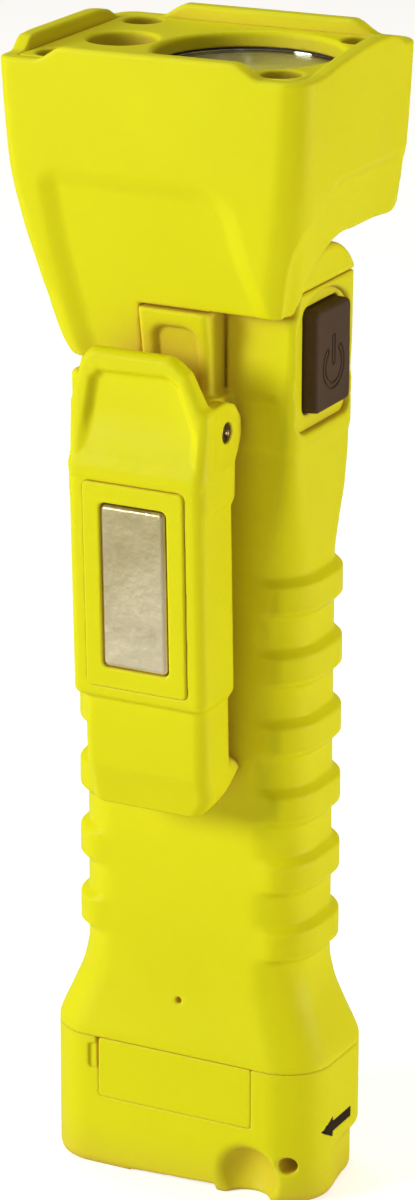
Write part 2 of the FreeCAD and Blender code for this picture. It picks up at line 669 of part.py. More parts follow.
def clip_parts():
    """Magnet, its backing and holder, the hinge pin and the torsion spring."""
    room = box(-MAGNET_HALF_W - 0.15, MAGNET_HALF_W + 0.15, CLIP_FACE_Y - 1, CLIP_FACE_Y + 2.2,
               MAGNET_LOW_Z - 0.15, MAGNET_TOP_Z + 0.15)
    save("magnet_holder", leaning(magnet_holder_blank(0).cut(room)))
    magnet = box(-MAGNET_HALF_W, MAGNET_HALF_W, CLIP_FACE_Y - 0.5, CLIP_FACE_Y + 1.5, MAGNET_LOW_Z, MAGNET_TOP_Z)
    rim = [e for e in magnet.Edges if e.BoundBox.YMax < CLIP_FACE_Y - 0.4]
    save("clip_magnet", leaning(magnet.makeChamfer(0.25, rim)))
    backing = box(-MAGNET_HALF_W, MAGNET_HALF_W, CLIP_FACE_Y + 1.5, CLIP_FACE_Y + 2.2, MAGNET_LOW_Z, MAGNET_TOP_Z)
    save("magnet_backing", leaning(backing))
    save("clip_pin", rod_x(-11.8, 11.8, PIN_Y, PIN_Z, PIN_R))

    coil_r, wire_r, turns, length = 2.7, 0.45, 5, 6.4
    path = Part.makeHelix(length / turns, length, coil_r)
    profile = Part.Wire(Part.makeCircle(wire_r, Vector(coil_r, 0, 0), Vector(0, 1, 0)))
    coil = Part.Wire(path).makePipeShell([profile], True, True)
    coil.rotate(Vector(0, 0, 0), Vector(0, 1, 0), 90)
    coil.translate(Vector(-length / 2, PIN_Y, PIN_Z))
    save("clip_spring", coil)


# ---------------------------------------------------------------- everything
def body_parts():
    """Pieces that stay with the grip."""
    save("grip_housing", grip_housing())
    save("battery_cells", battery_cells())
    save("battery_sleeve", battery_sleeve())
    save("cell_springs", cell_springs())
    save("contact_board", slab_z(-17.0, 17.0, -7.7, 7.7, 7.5, POCKET_TOP_Z - 1.1, POCKET_TOP_Z - 0.1))
    save("mouth_gasket", gasket_ring(18.0, 19.2, 8.8, 10.0, CAP_TOP_Z, CAP_TOP_Z + 0.95))
    save("driver_board", slab_z(-14.5, 9.0, -7.5, 7.0, 1.0, 132.6, 133.8))
    save("switch_board", slab_x(-8.5, 7.5, 133.0, 154.2, [0.8, 0.8, 3.0, 3.0], 12.4, 13.6))
    actuator = rod_x(15.0, 15.3, 0, 144, 1.7)
    save("tactile_switch", union(box(13.6, 15.0, -3, 3, 141, 147), actuator))
    membrane = slab_x(-9.0, 8.2, 133.0, 154.6, [1.0, 1.0, 4.0, 4.0], 16.5, 17.1)
    save("switch_seal", membrane.cut(rod_x(10, 20, 0, 144, 2.6)))
    save("switch_bezel", switch_bezel())


def moving_parts():
    """Pieces of the button, the battery cap and the latch."""
    save("power_button", power_button())
    save("button_plunger", rod_x(16.2, 18.2, 0, 144, 2.0))
    save("tail_cap", tail_cap())
    save("arrow_mark", arrow_mark())
    save("tail_contact", slab_z(-16.9, 16.9, -7.9, 7.9, 5.9, CAP_BAY_Z, CAP_BAY_Z + 0.8).fuse(
        [rod_z(CAP_BAY_Z + 0.8, CAP_BAY_Z + 1.7, x, 0, 3.5) for x in cell_columns()]).removeSplitter())
    save("latch_pin", rod_x(-15.5, 15.5, LATCH_PIN_Y, LATCH_PIN_Z, LATCH_PIN_R))
    save("door_latch", door_latch())


body_parts()
moving_parts()
hinge_parts()
head_parts()
clip_parts()
save("head_housing", head_housing())
save("bezel_plate", bezel_plate())
save("bezel_screws", bezel_screws())
save("clip_lever", clip_lever())
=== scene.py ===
import json
import math

import bpy
import numpy as np
from mathutils import Matrix, Vector


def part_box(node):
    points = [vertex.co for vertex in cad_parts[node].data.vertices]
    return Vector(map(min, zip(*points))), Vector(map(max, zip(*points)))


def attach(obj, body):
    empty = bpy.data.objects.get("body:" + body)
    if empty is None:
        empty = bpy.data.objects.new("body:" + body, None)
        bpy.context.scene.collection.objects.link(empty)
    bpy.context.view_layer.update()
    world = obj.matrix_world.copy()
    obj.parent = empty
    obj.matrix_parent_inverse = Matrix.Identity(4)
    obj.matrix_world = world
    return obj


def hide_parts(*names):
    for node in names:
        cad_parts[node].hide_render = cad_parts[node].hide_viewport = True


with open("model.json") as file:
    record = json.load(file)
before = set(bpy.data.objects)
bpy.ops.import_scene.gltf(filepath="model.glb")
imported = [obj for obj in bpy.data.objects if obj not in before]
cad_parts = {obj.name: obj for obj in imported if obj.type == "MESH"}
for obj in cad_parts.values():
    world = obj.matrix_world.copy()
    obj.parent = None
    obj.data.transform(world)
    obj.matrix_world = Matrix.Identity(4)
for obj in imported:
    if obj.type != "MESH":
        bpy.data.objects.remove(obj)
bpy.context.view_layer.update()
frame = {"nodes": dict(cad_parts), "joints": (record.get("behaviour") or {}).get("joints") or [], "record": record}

# Looks of a right-angle safety flashlight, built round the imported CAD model.
# Every moulding is a smooth field in millimetres (negative inside), meshed by a surface net.
# +X is the button side, -Y the clip side, +Z runs up the grip to the lamp.

MM = 0.001
COARSE = 1.0     # factor on every cell size


# ---------------------------------------------------------------- places taken from the frame
def box_mm(node):
    """Lowest and highest corner of a CAD node, in millimetres."""
    low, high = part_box(node)
    return np.array(low) / MM, np.array(high) / MM


def joint(name):
    """One joint of the record."""
    return next(j for j in frame["joints"] if j["name"] == name)


def mount(name):
    """One mount of the record."""
    return next(m for m in frame["record"]["mounts"] if m["name"] == name)


GRIP_LOW, GRIP_HIGH = box_mm("grip_housing")
CAP_LOW, CAP_HIGH = box_mm("tail_cap")
HEAD_LOW, HEAD_HIGH = box_mm("head_housing")
PLATE_LOW, PLATE_HIGH = box_mm("bezel_plate")
LENS_LOW, LENS_HIGH = box_mm("main_lens")
SIDE_LENS_LOW, SIDE_LENS_HIGH = box_mm("side_lens")
BUTTON_LOW, BUTTON_HIGH = box_mm("power_button")
RING_LOW, RING_HIGH = box_mm("switch_bezel")
LATCH_LOW, LATCH_HIGH = box_mm("door_latch")
CLIP_LOW, CLIP_HIGH = box_mm("clip_lever")
HOLDER_LOW, HOLDER_HIGH = box_mm("magnet_holder")
MAGNET_LOW, MAGNET_HIGH = box_mm("clip_magnet")
PIN_LOW, PIN_HIGH = box_mm("clip_pin")
POCKET_TOP = box_mm("battery_sleeve")[1][2]
COVER_LOW, COVER_HIGH = box_mm("hinge_cover")
BARREL_CAP_LOW, BARREL_CAP_HIGH = box_mm("barrel_cap")
ARROW_LOW, ARROW_HIGH = box_mm("arrow_mark")
SCREWS_LOW, SCREWS_HIGH = box_mm("bezel_screws")

TAIL_W = CAP_HIGH[0]
TAIL_D = CAP_HIGH[1]
CAP_TOP = CAP_HIGH[2]
RIM_Z = PLATE_HIGH[2]
TOP_Z = HEAD_HIGH[2]
PIVOT_Y, PIVOT_Z = np.array(joint("head_tilt")["pos_m"][1:]) / MM
PIN_Y, PIN_Z = np.array(joint("clip_hinge")["pos_m"][1:]) / MM
BARREL_R = PIVOT_Z - HEAD_LOW[2]
CLIP_TILT = math.atan2(mount("magnet_face")["axis"][2], mount("magnet_face")["axis"][1]) + math.pi
CAD_SCREW_R = 2.5
SCREW_X = SCREWS_HIGH[0] - CAD_SCREW_R
SCREW_Y = (SCREWS_HIGH[1] - SCREWS_LOW[1]) / 2 - CAD_SCREW_R
SCREW_MID_Y = (SCREWS_HIGH[1] + SCREWS_LOW[1]) / 2
MAIN_LAMP = (LENS_LOW[:2] + LENS_HIGH[:2]) / 2
SIDE_LAMP = (SIDE_LENS_LOW[:2] + SIDE_LENS_HIGH[:2]) / 2
CORD_X = mount("lanyard_hole")["pos_m"][0] / MM
CORD_Z = mount("lanyard_hole")["pos_m"][2] / MM
CORD_R = mount("lanyard_hole")["dims"]["r_mm"]


# ---------------------------------------------------------------- field tools
def both(a, b, r=0.0):
    """Where a and b overlap; the edge between them is rounded to radius r."""
    if r == 0:
        return np.maximum(a, b)
    corner = np.hypot(np.maximum(a + r, 0), np.maximum(b + r, 0))
    return np.minimum(np.maximum(a, b), -r) + corner


def either(a, b, r=0.0):
    """a joined to b, with a fillet of radius r."""
    return -both(-a, -b, r)


def without(a, b, r=0.0):
    """a with b cut away, with the cut's edge rounded to radius r."""
    return both(a, -b, r)


def between(value, low, high):
    """A slab."""
    return np.abs(value - (low + high) / 2) - (high - low) / 2


def rounded_rect(u, v, u0, u1, v0, v1, r):
    """Distance to a rounded rectangle; every bound may vary from point to point."""
    du = np.abs(u - (u0 + u1) / 2) - (u1 - u0) / 2 + r
    dv = np.abs(v - (v0 + v1) / 2) - (v1 - v0) / 2 + r
    return np.minimum(np.maximum(du, dv), 0) + np.hypot(np.maximum(du, 0), np.maximum(dv, 0)) - r


def block(x, y, z, low, high, r):
    """Box with every edge rounded."""
    flat = rounded_rect(x, y, low[0], high[0], low[1], high[1], r)
    return both(flat, between(z, low[2], high[2]), r)


def disc(u, v, cu, cv, r):
    """Distance to a circle."""
    return np.hypot(u - cu, v - cv) - r


def ramp(value, start, end):
    """Smooth step from 0 at start to 1 at end."""
    t = np.clip((value - start) / (end - start), 0, 1)
    return t * t * (3 - 2 * t)


def line_chain(value, knots, levels):
    """Level that runs smoothly through the knots without overshooting."""
    knots = np.asarray(knots, float)
    levels = np.asarray(levels, float)
    steps = np.diff(knots)
    slopes = np.diff(levels) / steps
    tangent = np.empty(len(knots))
    tangent[0], tangent[-1] = slopes[0], slopes[-1]
    product = slopes[:-1] * slopes[1:]
    total = slopes[:-1] + slopes[1:]
    tangent[1:-1] = np.where(product > 0, 2 * product / np.where(total == 0, 1, total), 0)
    value = np.clip(value, knots[0], knots[-1])
    i = np.clip(np.searchsorted(knots, value, side="right") - 1, 0, len(steps) - 1)
    h = steps[i]
    t = (value - knots[i]) / h
    a = levels[i] * (1 + 2 * t) * (1 - t) ** 2 + tangent[i] * h * t * (1 - t) ** 2
    return a + levels[i + 1] * t * t * (3 - 2 * t) - tangent[i + 1] * h * t * t * (1 - t)


def polygon(u, v, points):
    """Distance to a closed polygon, negative inside."""
    best = np.full(np.shape(u), 1e9)
    inside = np.zeros(np.shape(u), bool)
    for (u0, v0), (u1, v1) in zip(points, points[1:] + points[:1]):
        du, dv = u1 - u0, v1 - v0
        t = np.clip(((u - u0) * du + (v - v0) * dv) / (du * du + dv * dv), 0, 1)
        best = np.minimum(best, np.hypot(u - u0 - t * du, v - v0 - t * dv))
        crosses = (v0 > v) != (v1 > v)
        safe = dv if dv else 1.0
        inside ^= crosses & (u < u0 + (v - v0) * du / safe)
    return np.where(inside, -best, best)


# ---------------------------------------------------------------- meshing
BLOCK = 8                 # cells along a block
BATCH = 1500              # blocks worked on at a time
PROBE = 0.15              # half the span of a slope measurement, in cells
MARGIN = 0.8              # room round a piece's CAD box, mm
STEEPEST = 1.8            # most that a field may change per millimetre
CORNERS = [(i, j, k) for i in (0, 1) for j in (0, 1) for k in (0, 1)]
EDGES = [(a, b) for a in range(8) for b in range(a + 1, 8) if bin(a ^ b).count("1") == 1]


def near_blocks(field, low, cell, counts):
    """Index of every block of cells that the surface may cross."""
    side = BLOCK * cell
    grid = np.stack(np.meshgrid(*[np.arange(c) for c in counts], indexing="ij"), -1).reshape(-1, 3)
    centre = low + (grid + 0.5) * side
    distance = np.abs(field(*centre.T))
    return grid[distance < side * math.sqrt(3) / 2 * STEEPEST]


def net_vertices(values, first_cell, low, cell):
    """Cell keys and vertex places for the cells that the surface crosses, in one batch of blocks."""
    corner = np.stack([values[:, i:i + BLOCK, j:j + BLOCK, k:k + BLOCK] for i, j, k in CORNERS], -1)
    inside = (corner < 0).sum(-1)
    hit = np.nonzero((inside > 0) & (inside < 8))
    value = corner[hit]
    total = np.zeros((len(value), 3))
    count = np.zeros(len(value))
    for a, b in EDGES:
        crossed = (value[:, a] < 0) != (value[:, b] < 0)
        span = np.where(crossed, value[:, a] - value[:, b], 1)
        t = np.where(crossed, value[:, a] / span, 0)
        start, end = np.array(CORNERS[a]), np.array(CORNERS[b])
        total += np.where(crossed[:, None], start + t[:, None] * (end - start), 0)
        count += crossed
    cells = first_cell[hit[0]] + np.stack(hit[1:], -1)
    return cells, low + (cells + total / count[:, None]) * cell


def net_faces(values, first_cell):
    """Quads as four cell indices each, for the grid edges that the surface crosses."""
    quads = []
    here = values[:, :BLOCK, :BLOCK, :BLOCK] < 0
    for axis in range(3):
        shift = [slice(0, BLOCK)] * 3
        shift[axis] = slice(1, BLOCK + 1)
        there = values[(slice(None), *shift)] < 0
        hit = np.nonzero(here != there)
        cells = first_cell[hit[0]] + np.stack(hit[1:], -1)
        side_a = np.zeros(3, int)
        side_b = np.zeros(3, int)
        side_a[(axis + 1) % 3] = 1
        side_b[(axis + 2) % 3] = 1
        ring = np.stack([cells - side_a - side_b, cells - side_b, cells, cells - side_a], 1)
        outward = here[hit]
        quads.append(np.where(outward[:, None, None], ring, ring[:, ::-1]))
    return np.concatenate(quads)


def slope_of(field, points, h):
    """Gradient of the field."""
    sides = []
    for axis in range(3):
        step = np.zeros(3)
        step[axis] = h
        sides.append((field(*(points + step).T) - field(*(points - step).T)) / (2 * h))
    return np.stack(sides, -1)


def settle(field, points, cell, rounds):
    """Moves points onto the surface."""
    for _ in range(rounds):
        slope = slope_of(field, points, PROBE * cell)
        away = field(*points.T) / np.maximum((slope ** 2).sum(-1), 0.2)
        points = points - np.clip(away, -0.5 * cell, 0.5 * cell)[:, None] * slope
    return points


def relax(field, points, faces, cell):
    """Evens the spacing of the points along the surface."""
    total = np.zeros_like(points)
    count = np.zeros(len(points))
    for a, b in ((0, 1), (1, 2), (2, 3), (3, 0)):
        for i, j in ((a, b), (b, a)):
            for axis in range(3):
                total[:, axis] += np.bincount(faces[:, i], points[faces[:, j], axis], len(points))
            count += np.bincount(faces[:, i], minlength=len(points))
    move = total / count[:, None] - points
    normal = slope_of(field, points, PROBE * cell)
    normal /= np.maximum(np.linalg.norm(normal, axis=1), 1e-6)[:, None]
    move -= (move * normal).sum(-1)[:, None] * normal
    return points + 0.5 * move


def surface_net(field, low, high, cell):
    """Closed quad mesh of the field's zero surface, as points and faces."""
    low = np.array(low, float) - MARGIN
    counts = np.ceil((np.array(high) + MARGIN - low) / (BLOCK * cell)).astype(int)
    first = near_blocks(field, low, cell, counts) * BLOCK
    steps = np.arange(BLOCK + 1)
    local = np.stack(np.meshgrid(steps, steps, steps, indexing="ij"), -1)
    cells, points, quads = [], [], []
    for start in range(0, len(first), BATCH):
        batch = first[start:start + BATCH]
        spots = low + (batch[:, None, None, None] + local) * cell
        values = field(spots[..., 0], spots[..., 1], spots[..., 2])
        batch_cells, batch_points = net_vertices(values, batch, low, cell)
        cells.append(batch_cells)
        points.append(batch_points)
        quads.append(net_faces(values, batch))
    size = counts * BLOCK + 2
    cells, points, quads = np.concatenate(cells), np.concatenate(points), np.concatenate(quads)
    key = (cells[:, 0] * size[1] + cells[:, 1]) * size[2] + cells[:, 2]
    order = np.argsort(key)
    quad_key = (quads[..., 0] * size[1] + quads[..., 1]) * size[2] + quads[..., 2]
    place = np.clip(np.searchsorted(key[order], quad_key), 0, len(key) - 1)
    if not (key[order][place] == quad_key).all():
        raise ValueError("a block that the surface crosses was skipped")
    points = settle(field, points[order], cell, 2)
    points = settle(field, relax(field, points, place, cell), cell, 1)
    return points, place


def mesh_object(name, points, faces, material):
    """Blender object from points in millimetres and quads."""
    mesh = bpy.data.meshes.new(name)
    mesh.vertices.add(len(points))
    mesh.vertices.foreach_set("co", (points * MM).astype(np.float32).ravel())
    mesh.loops.add(faces.size)
    mesh.loops.foreach_set("vertex_index", faces.astype(np.int32).ravel())
    mesh.polygons.add(len(faces))
    mesh.polygons.foreach_set("loop_start", np.arange(0, faces.size, 4, dtype=np.int32))
    mesh.update(calc_edges=True)
    mesh.validate()
    mesh.shade_smooth()
    mesh.materials.append(material)
    obj = bpy.data.objects.new(name, mesh)
    bpy.context.scene.collection.objects.link(obj)
    return obj


def moulding(name, field, low, high, cell, slot, body, cad_node):
    """Meshes a field and puts it in place of the CAD node that it stands for."""
    points, faces = surface_net(field, low, high, cell * COARSE)
    obj = mesh_object(name, points, faces, MATERIALS[slot])
    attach(obj, body)
    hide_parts(cad_node)


# ---------------------------------------------------------------- grip
SHOULDER_Z = 138.8
NECK_W = 20.5
NECK_FRONT = -11.0
NECK_BACK = 10.8
CHEEK_LEFT = 8.3
CHEEK_R = BARREL_R + 0.25
CHEEK_LOW_Z = 130.0
CHEEK_STRAIGHT_Z = 152.3
SWITCH_ARCH_Z = 140.3
SWITCH_FLOOR_X = 17.5
SWITCH_ROOM_X = (10.5, 19.0)
SWITCH_ROOM_Z = (131.0, 155.0)
NECK_ROOM_Z = (130.0, 137.0)
BOSS_Z = (131.0, 152.7)
LUG_R = 4.8
LUG_INSET = 2.5
LUG_ROOT_Y = -9.0
PIN_BORE_R = 1.5
PIN_BORE_REACH = 12.0
AXLE_R = 3.0
VENT_Z = 32.7
VENT_R = 0.55
RAIL_INNER, RAIL_STEM, RAIL_FOOT = 19.6, 21.0, 22.6
RAIL_LOW_Z = GRIP_LOW[2]
RAIL_TOE = 2.0
FAR = 50.0                # a distance past every surface nearby, mm
RIB_PITCH = 12.0
RIB_FIRST = 45.1
RIB_COUNT = 6
RIB_RELIEF = 1.38
GRIP_ROWS = (
    # height, half width, front, back, corner radius
    (CAP_TOP, TAIL_W, -TAIL_D, TAIL_D, 8.5),
    (24.6, TAIL_W, -TAIL_D, TAIL_D, 8.5),
    (25.6, 24.9, -12.55, 12.55, 8.5),
    (30.0, 23.1, -11.7, 11.7, 8.3),
    (35.5, 21.1, -10.8, 10.9, 8.2),
    (40.0, 20.4, -10.5, 10.6, 8.1),
    (109.0, 20.4, -10.5, 10.6, 8.1),
    (115.0, 20.45, -10.6, 10.7, 6.4),
    (121.0, 20.5, -10.8, NECK_BACK, 4.2),
    (128.0, NECK_W, NECK_FRONT, NECK_BACK, 2.9),
    (136.0, NECK_W, NECK_FRONT, NECK_BACK, 2.6),
    (146.0, NECK_W, NECK_FRONT, NECK_BACK, 1.5),
    (165.0, NECK_W, NECK_FRONT, NECK_BACK, 1.2),
)


def section(x, y, z, rows):
    """Rounded rectangle whose bounds follow a table of heights."""
    heights, half, front, back, corner = np.array(rows).T
    w = line_chain(z, heights, half)
    return rounded_rect(x, y, -w, w, line_chain(z, heights, front), line_chain(z, heights, back),
                        line_chain(z, heights, corner))


def rib_height(x, z):
    """Raised ribs that wrap the narrow sides and fade out on the wide faces."""
    step = (z - RIB_FIRST) / RIB_PITCH
    index = np.clip(np.round(step), 0, RIB_COUNT - 1)
    off = np.abs(step - index) * RIB_PITCH
    bar = 1 - np.clip((off - 2.15) / 1.4, 0, 1)
    return RIB_RELIEF * bar * ramp(np.abs(x), 12.5, 18.5)


def cheek_outline(y, z):
    """Side view of the cheek: upright below, round above."""
    upright = rounded_rect(y, z, NECK_FRONT - 3, NECK_BACK + 3, CHEEK_LOW_Z, CHEEK_STRAIGHT_Z, 0.8)
    return either(upright, disc(y, z, PIVOT_Y, PIVOT_Z, CHEEK_R), 0.4)


def switch_outline(y, z, grow):
    """Recess round the button: square below, arched above."""
    front, back, low, top = RING_LOW[1], RING_HIGH[1], RING_LOW[2], RING_HIGH[2]
    lower = rounded_rect(y, z, front, back, low, top + 20, 2.4)
    arch = disc(y, z, (front + back) / 2, SWITCH_ARCH_Z, top - SWITCH_ARCH_Z)
    upper = rounded_rect(y, z, front - 5, back + 5, low - 5, top, 5.5)
    return np.maximum(both(lower, arch, 1.5), upper) - grow


def cheek_field(x, y, z):
    """Round fixed half of the head hinge."""
    return both(both(cheek_outline(y, z), section(x, y, z, GRIP_ROWS), 1.0), CHEEK_LEFT - x, 0.6)


def boss_field(x, y, z):
    """Block above the clip, with a soft dish behind the thumb pad."""
    front = line_chain(z, (131.0, 140.0, 145.0, 150.6, 153.0), (-15.0, -15.2, -15.7, -16.7, -17.1))
    block_part = both(rounded_rect(x, y, -4.4, 7.8, front, -9.6, 0.9), between(z, *BOSS_Z), 0.3)
    pocket = both(rounded_rect(x, z, -1.7, 5.4, 138.0, 149.8, 2.0), y - front - 1.1)
    return without(block_part, pocket, 1.2)


def lug_field(x, y, z):
    """Two lugs that hold the clip pin."""
    arm = rounded_rect(y, z, PIN_Y, LUG_ROOT_Y, PIN_Z - LUG_R, PIN_Z + 4.6, 0.5)
    eye = either(disc(y, z, PIN_Y, PIN_Z, LUG_R), arm, 1.0)
    lug = both(eye, np.abs(x) - CLIP_HIGH[0] + LUG_INSET, 0.6)
    room = both(np.abs(x) - 3.9, y + 11.8, 0.3)
    return without(lug, room, 0.3)


def rail_field(x, y, z):
    """Rails under the grip that hold the battery cap."""
    side = np.abs(x)
    upright = both(between(side, RAIL_INNER, RAIL_STEM), between(z, RAIL_LOW_Z, CAP_TOP + 2), 0.2)
    toe = both(between(side, RAIL_INNER, RAIL_FOOT), between(z, RAIL_LOW_Z, RAIL_LOW_Z + RAIL_TOE), 0.2)
    return both(either(upright, toe, 0.2), np.abs(y) - 6.5, 0.4)


def grip_field(x, y, z):
    """Grip housing with its ribs, neck, cheek, boss, lugs and rails."""
    core = section(x, y, z, GRIP_ROWS) - rib_height(x, z)
    core = both(both(core, z - SHOULDER_Z, 1.0), CAP_TOP - z, 0.18)
    solid = either(core, cheek_field(x, y, z), 1.0)
    solid = either(solid, boss_field(x, y, z), 0.5)
    solid = either(solid, lug_field(x, y, z), 1.0)
    solid = np.minimum(solid, rail_field(x, y, z))
    bay = both(rounded_rect(x, y, -17.6, 17.6, -8.3, 8.3, 8.0), z - POCKET_TOP - 2.0)
    neck_room = both(rounded_rect(x, y, -15, 17, -8.5, 8.0, 2.0), between(z, *NECK_ROOM_Z))
    switch_room = both(rounded_rect(y, z, -9.2, 8.4, *SWITCH_ROOM_Z, 3.0), between(x, *SWITCH_ROOM_X))
    recess = both(both(switch_outline(y, z, 0.0), cheek_outline(y, z) + 0.9, 0.5), SWITCH_FLOOR_X - x)
    solid = without(solid, np.minimum(bay, neck_room), 0.3)
    solid = without(solid, np.minimum(switch_room, recess), 0.6)
    latch = both(rounded_rect(x, z, LATCH_LOW[0] - 0.05, LATCH_HIGH[0] + 0.07, 0, LATCH_HIGH[2] + 0.06, 0.5),
                 y - LATCH_HIGH[1] - 0.4)
    solid = without(solid, latch, 0.06)
    cover = both(COVER_LOW[2] - z, COVER_LOW[0] - x)
    solid = without(solid, cover, 0.1)
    pin_bore = disc(y, z, PIN_Y, PIN_Z, PIN_BORE_R) + np.where(np.abs(x) > PIN_BORE_REACH, FAR, 0)
    solid = without(solid, pin_bore)
    axle = both(disc(y, z, PIVOT_Y, PIVOT_Z, AXLE_R), between(x, 7.0, 12.0))
    vent = both(disc(x, z, 0.0, VENT_Z, VENT_R), y + 9.6)
    return without(without(solid, axle), vent, 0.25)


# ---------------------------------------------------------------- battery cap
RAIL_GAP = 0.15
CAP_BAY_Z = 21.8
CAP_FLOOR_Z = 4.0
COIN_SLOT_Z = 17.9
CAP_ROWS = (
    # height, half width, front, back, corner radius
    (-0.5, TAIL_W - 0.9, -TAIL_D + 0.8, TAIL_D - 0.8, 7.7),
    (0.0, TAIL_W - 0.6, -TAIL_D + 0.5, TAIL_D - 0.5, 8.0),
    (0.6, TAIL_W - 0.25, -TAIL_D + 0.2, TAIL_D - 0.2, 8.3),
    (1.6, TAIL_W, -TAIL_D, TAIL_D, 8.5),
    (7.0, TAIL_W, -TAIL_D, TAIL_D, 8.5),
    (CAP_TOP + 1, TAIL_W, -TAIL_D, TAIL_D, 8.5),
)


def arrow_outline(y, z):
    """Direction arrow that points the way the cap slides off."""
    middle = (ARROW_LOW[2] + ARROW_HIGH[2]) / 2
    tip, end = ARROW_LOW[1], ARROW_HIGH[1]
    neck = tip + 3.4
    half = (ARROW_HIGH[2] - ARROW_LOW[2]) / 2
    shaft = half * 0.5
    points = [(tip, middle), (neck, middle + half), (neck, middle + shaft), (end, middle + shaft),
              (end, middle - shaft), (neck, middle - shaft), (neck, middle - half)]
    return polygon(y, z, points)


def cap_outer(x, y, z):
    """Outside of the battery cap before its slots are cut."""
    thumb_step = 1.3 * ramp(-z, -9.6, -7.0) * ramp(x + 0.9 * y, 20.0, 28.0)
    solid = both(both(section(x, y, z, CAP_ROWS) + thumb_step, -z, 0.6), z - CAP_TOP, 0.12)
    arch = 0.5 + 0.9 * np.clip((x + 8.6) / 16.3, 0, 1)
    notch = both(rounded_rect(x, z, -8.6, 7.7, -3, arch, 0.3), 5.5 - np.abs(y), 0.4)
    solid = without(solid, notch, 0.2)
    across = ((x - 13.8) / 5.5) ** 2
    scoop = np.sqrt(across + ((np.abs(y) - 14.6) / 5.9) ** 2 + ((z - 4.0) / 5.7) ** 2) - 1
    return without(solid, scoop * 4.6, 1.1)


def cap_field(x, y, z):
    """Battery cap with its slots and bays."""
    solid = cap_outer(x, y, z)
    side = np.abs(x)
    inner = RAIL_INNER - RAIL_GAP
    low = RAIL_LOW_Z - RAIL_GAP
    upright = both(between(side, inner, RAIL_STEM + RAIL_GAP), between(z, low, CAP_TOP + 2))
    toe = both(between(side, inner, RAIL_FOOT + RAIL_GAP), between(z, low, RAIL_LOW_Z + RAIL_TOE + RAIL_GAP))
    slot = both(np.minimum(upright, toe), -6.65 - y)
    bay = both(rounded_rect(x, y, -17.0, 17.0, -8.0, 8.0, 6.0), CAP_BAY_Z - z)
    deep = both(rounded_rect(x, y, -15.5, 15.5, -7.0, 7.0, 5.0), CAP_FLOOR_Z - z)
    solid = without(solid, np.minimum(np.minimum(slot, bay), deep), 0.2)
    left, right = LATCH_LOW[0], LATCH_HIGH[0]
    latch = both(rounded_rect(x, z, left - 0.03, right + 0.03, LATCH_LOW[2] - 0.02, CAP_TOP + 9, 0.5),
                 y - LATCH_HIGH[1] - 0.4)
    coin_slot = both(rounded_rect(x, z, left - 0.6, left + 1, COIN_SLOT_Z, 30.0, 0.25), y + 11.4)
    pocket = both(rounded_rect(x, z, left - 2.0, left + 1, COIN_SLOT_Z, 22.3, 0.5), y + TAIL_D - 0.5)
    coin_slot = np.minimum(coin_slot, pocket)
    solid = without(solid, np.minimum(latch, coin_slot), 0.04)
    cord = disc(x, z, CORD_X, CORD_Z, CORD_R)
    solid = without(solid, cord, 0.5)
    arrow = both(arrow_outline(y, z), ARROW_LOW[0] - x)
    return without(solid, arrow)


def arrow_field(x, y, z):
    """Dark arrow inlay, flush with the cap."""
    return both(both(cap_outer(x, y, z) + 0.02, arrow_outline(y, z) + 0.03, 0.1), ARROW_LOW[0] - x)


def latch_field(x, y, z):
    """Front latch plate."""
    plate = rounded_rect(x, z, LATCH_LOW[0], LATCH_HIGH[0], LATCH_LOW[2], LATCH_HIGH[2], 0.45)
    return both(plate, between(y, LATCH_LOW[1], LATCH_HIGH[1]), 0.05)


# ---------------------------------------------------------------- button
def bezel_ring_field(x, y, z):
    """Surround of the button, a step below the cheek's face."""
    ring = both(switch_outline(y, z, -0.02), between(x, RING_LOW[0], RING_HIGH[0]), 0.12)
    window = rounded_rect(y, z, -6.5, 6.5, 135.2, 152.7, 1.6)
    return without(ring, window, 0.4)


def power_mark(y, z):
    """Open ring with a bar: the usual sign for power."""
    cy, cz, radius, half = -0.2, 142.6, 3.3, 0.45
    ring = np.abs(np.hypot(y - cy, z - cz) - radius) - half
    angle = np.abs(np.arctan2(y - cy, z - cz))
    ring = both(ring, (0.62 - angle) * radius, 0.2)
    bar = rounded_rect(y, z, cy - half, cy + half, cz + 0.2, cz + 5.0, half * 0.9)
    return np.minimum(ring, bar)


def button_field(x, y, z):
    """Rubber push button with an engraved outline of the power sign."""
    face = BUTTON_HIGH[0]
    side = rounded_rect(y, z, BUTTON_LOW[1], BUTTON_HIGH[1], BUTTON_LOW[2], BUTTON_HIGH[2], 1.3)
    taper = 0.06 * np.maximum(x - BUTTON_LOW[0] - 1.5, 0)
    cap = both(both(side + taper, x - face, 0.7), BUTTON_LOW[0] - x, 0.2)
    rim = np.abs(power_mark(y, z)) - 0.16
    groove = both(rim, face - 0.28 - x)
    return without(cap, groove, 0.12)


# ---------------------------------------------------------------- head
HEAD_ROWS = (
    # height, half width, front, corner radius at the front
    (139.0, 18.6, -13.0, 6.0),
    (141.4, 19.2, -14.2, 6.3),
    (145.2, 20.5, -15.5, 6.5),
    (150.6, 21.7, -16.6, 6.5),
    (156.0, 23.2, -17.6, 6.2),
    (163.0, 24.4, -19.0, 6.0),
    (174.6, 26.0, -20.8, 5.5),
    (RIM_Z, 27.0, -21.5, 5.0),
    (196.0, 27.15, -21.6, 5.0),
)
HEAD_BACK = HEAD_HIGH[1]
SKIRT_Z = 153.0
HOOD_Z = 163.9
HOOD_ARC_R = 13.6
LOBE_X = -4.6
LOBE_LOW_Z = 142.4
LEG_RIGHT = 8.0
PANEL_TOP_Z = 174.7
SCOOP_TOP_Z = 174.8
CAVITY_Z = 167.0
BACK_CORNER = 4.0
RIM_SLOPE = 0.012
WALL = 2.6
MAIN_BORE_R = 15.0
SIDE_BORE_R = 5.6
SCREW_SEAT_Z = PLATE_LOW[2] + 0.9
SCREW_TIP_Z = 178.5
SCREW_HEAD_R = 2.85
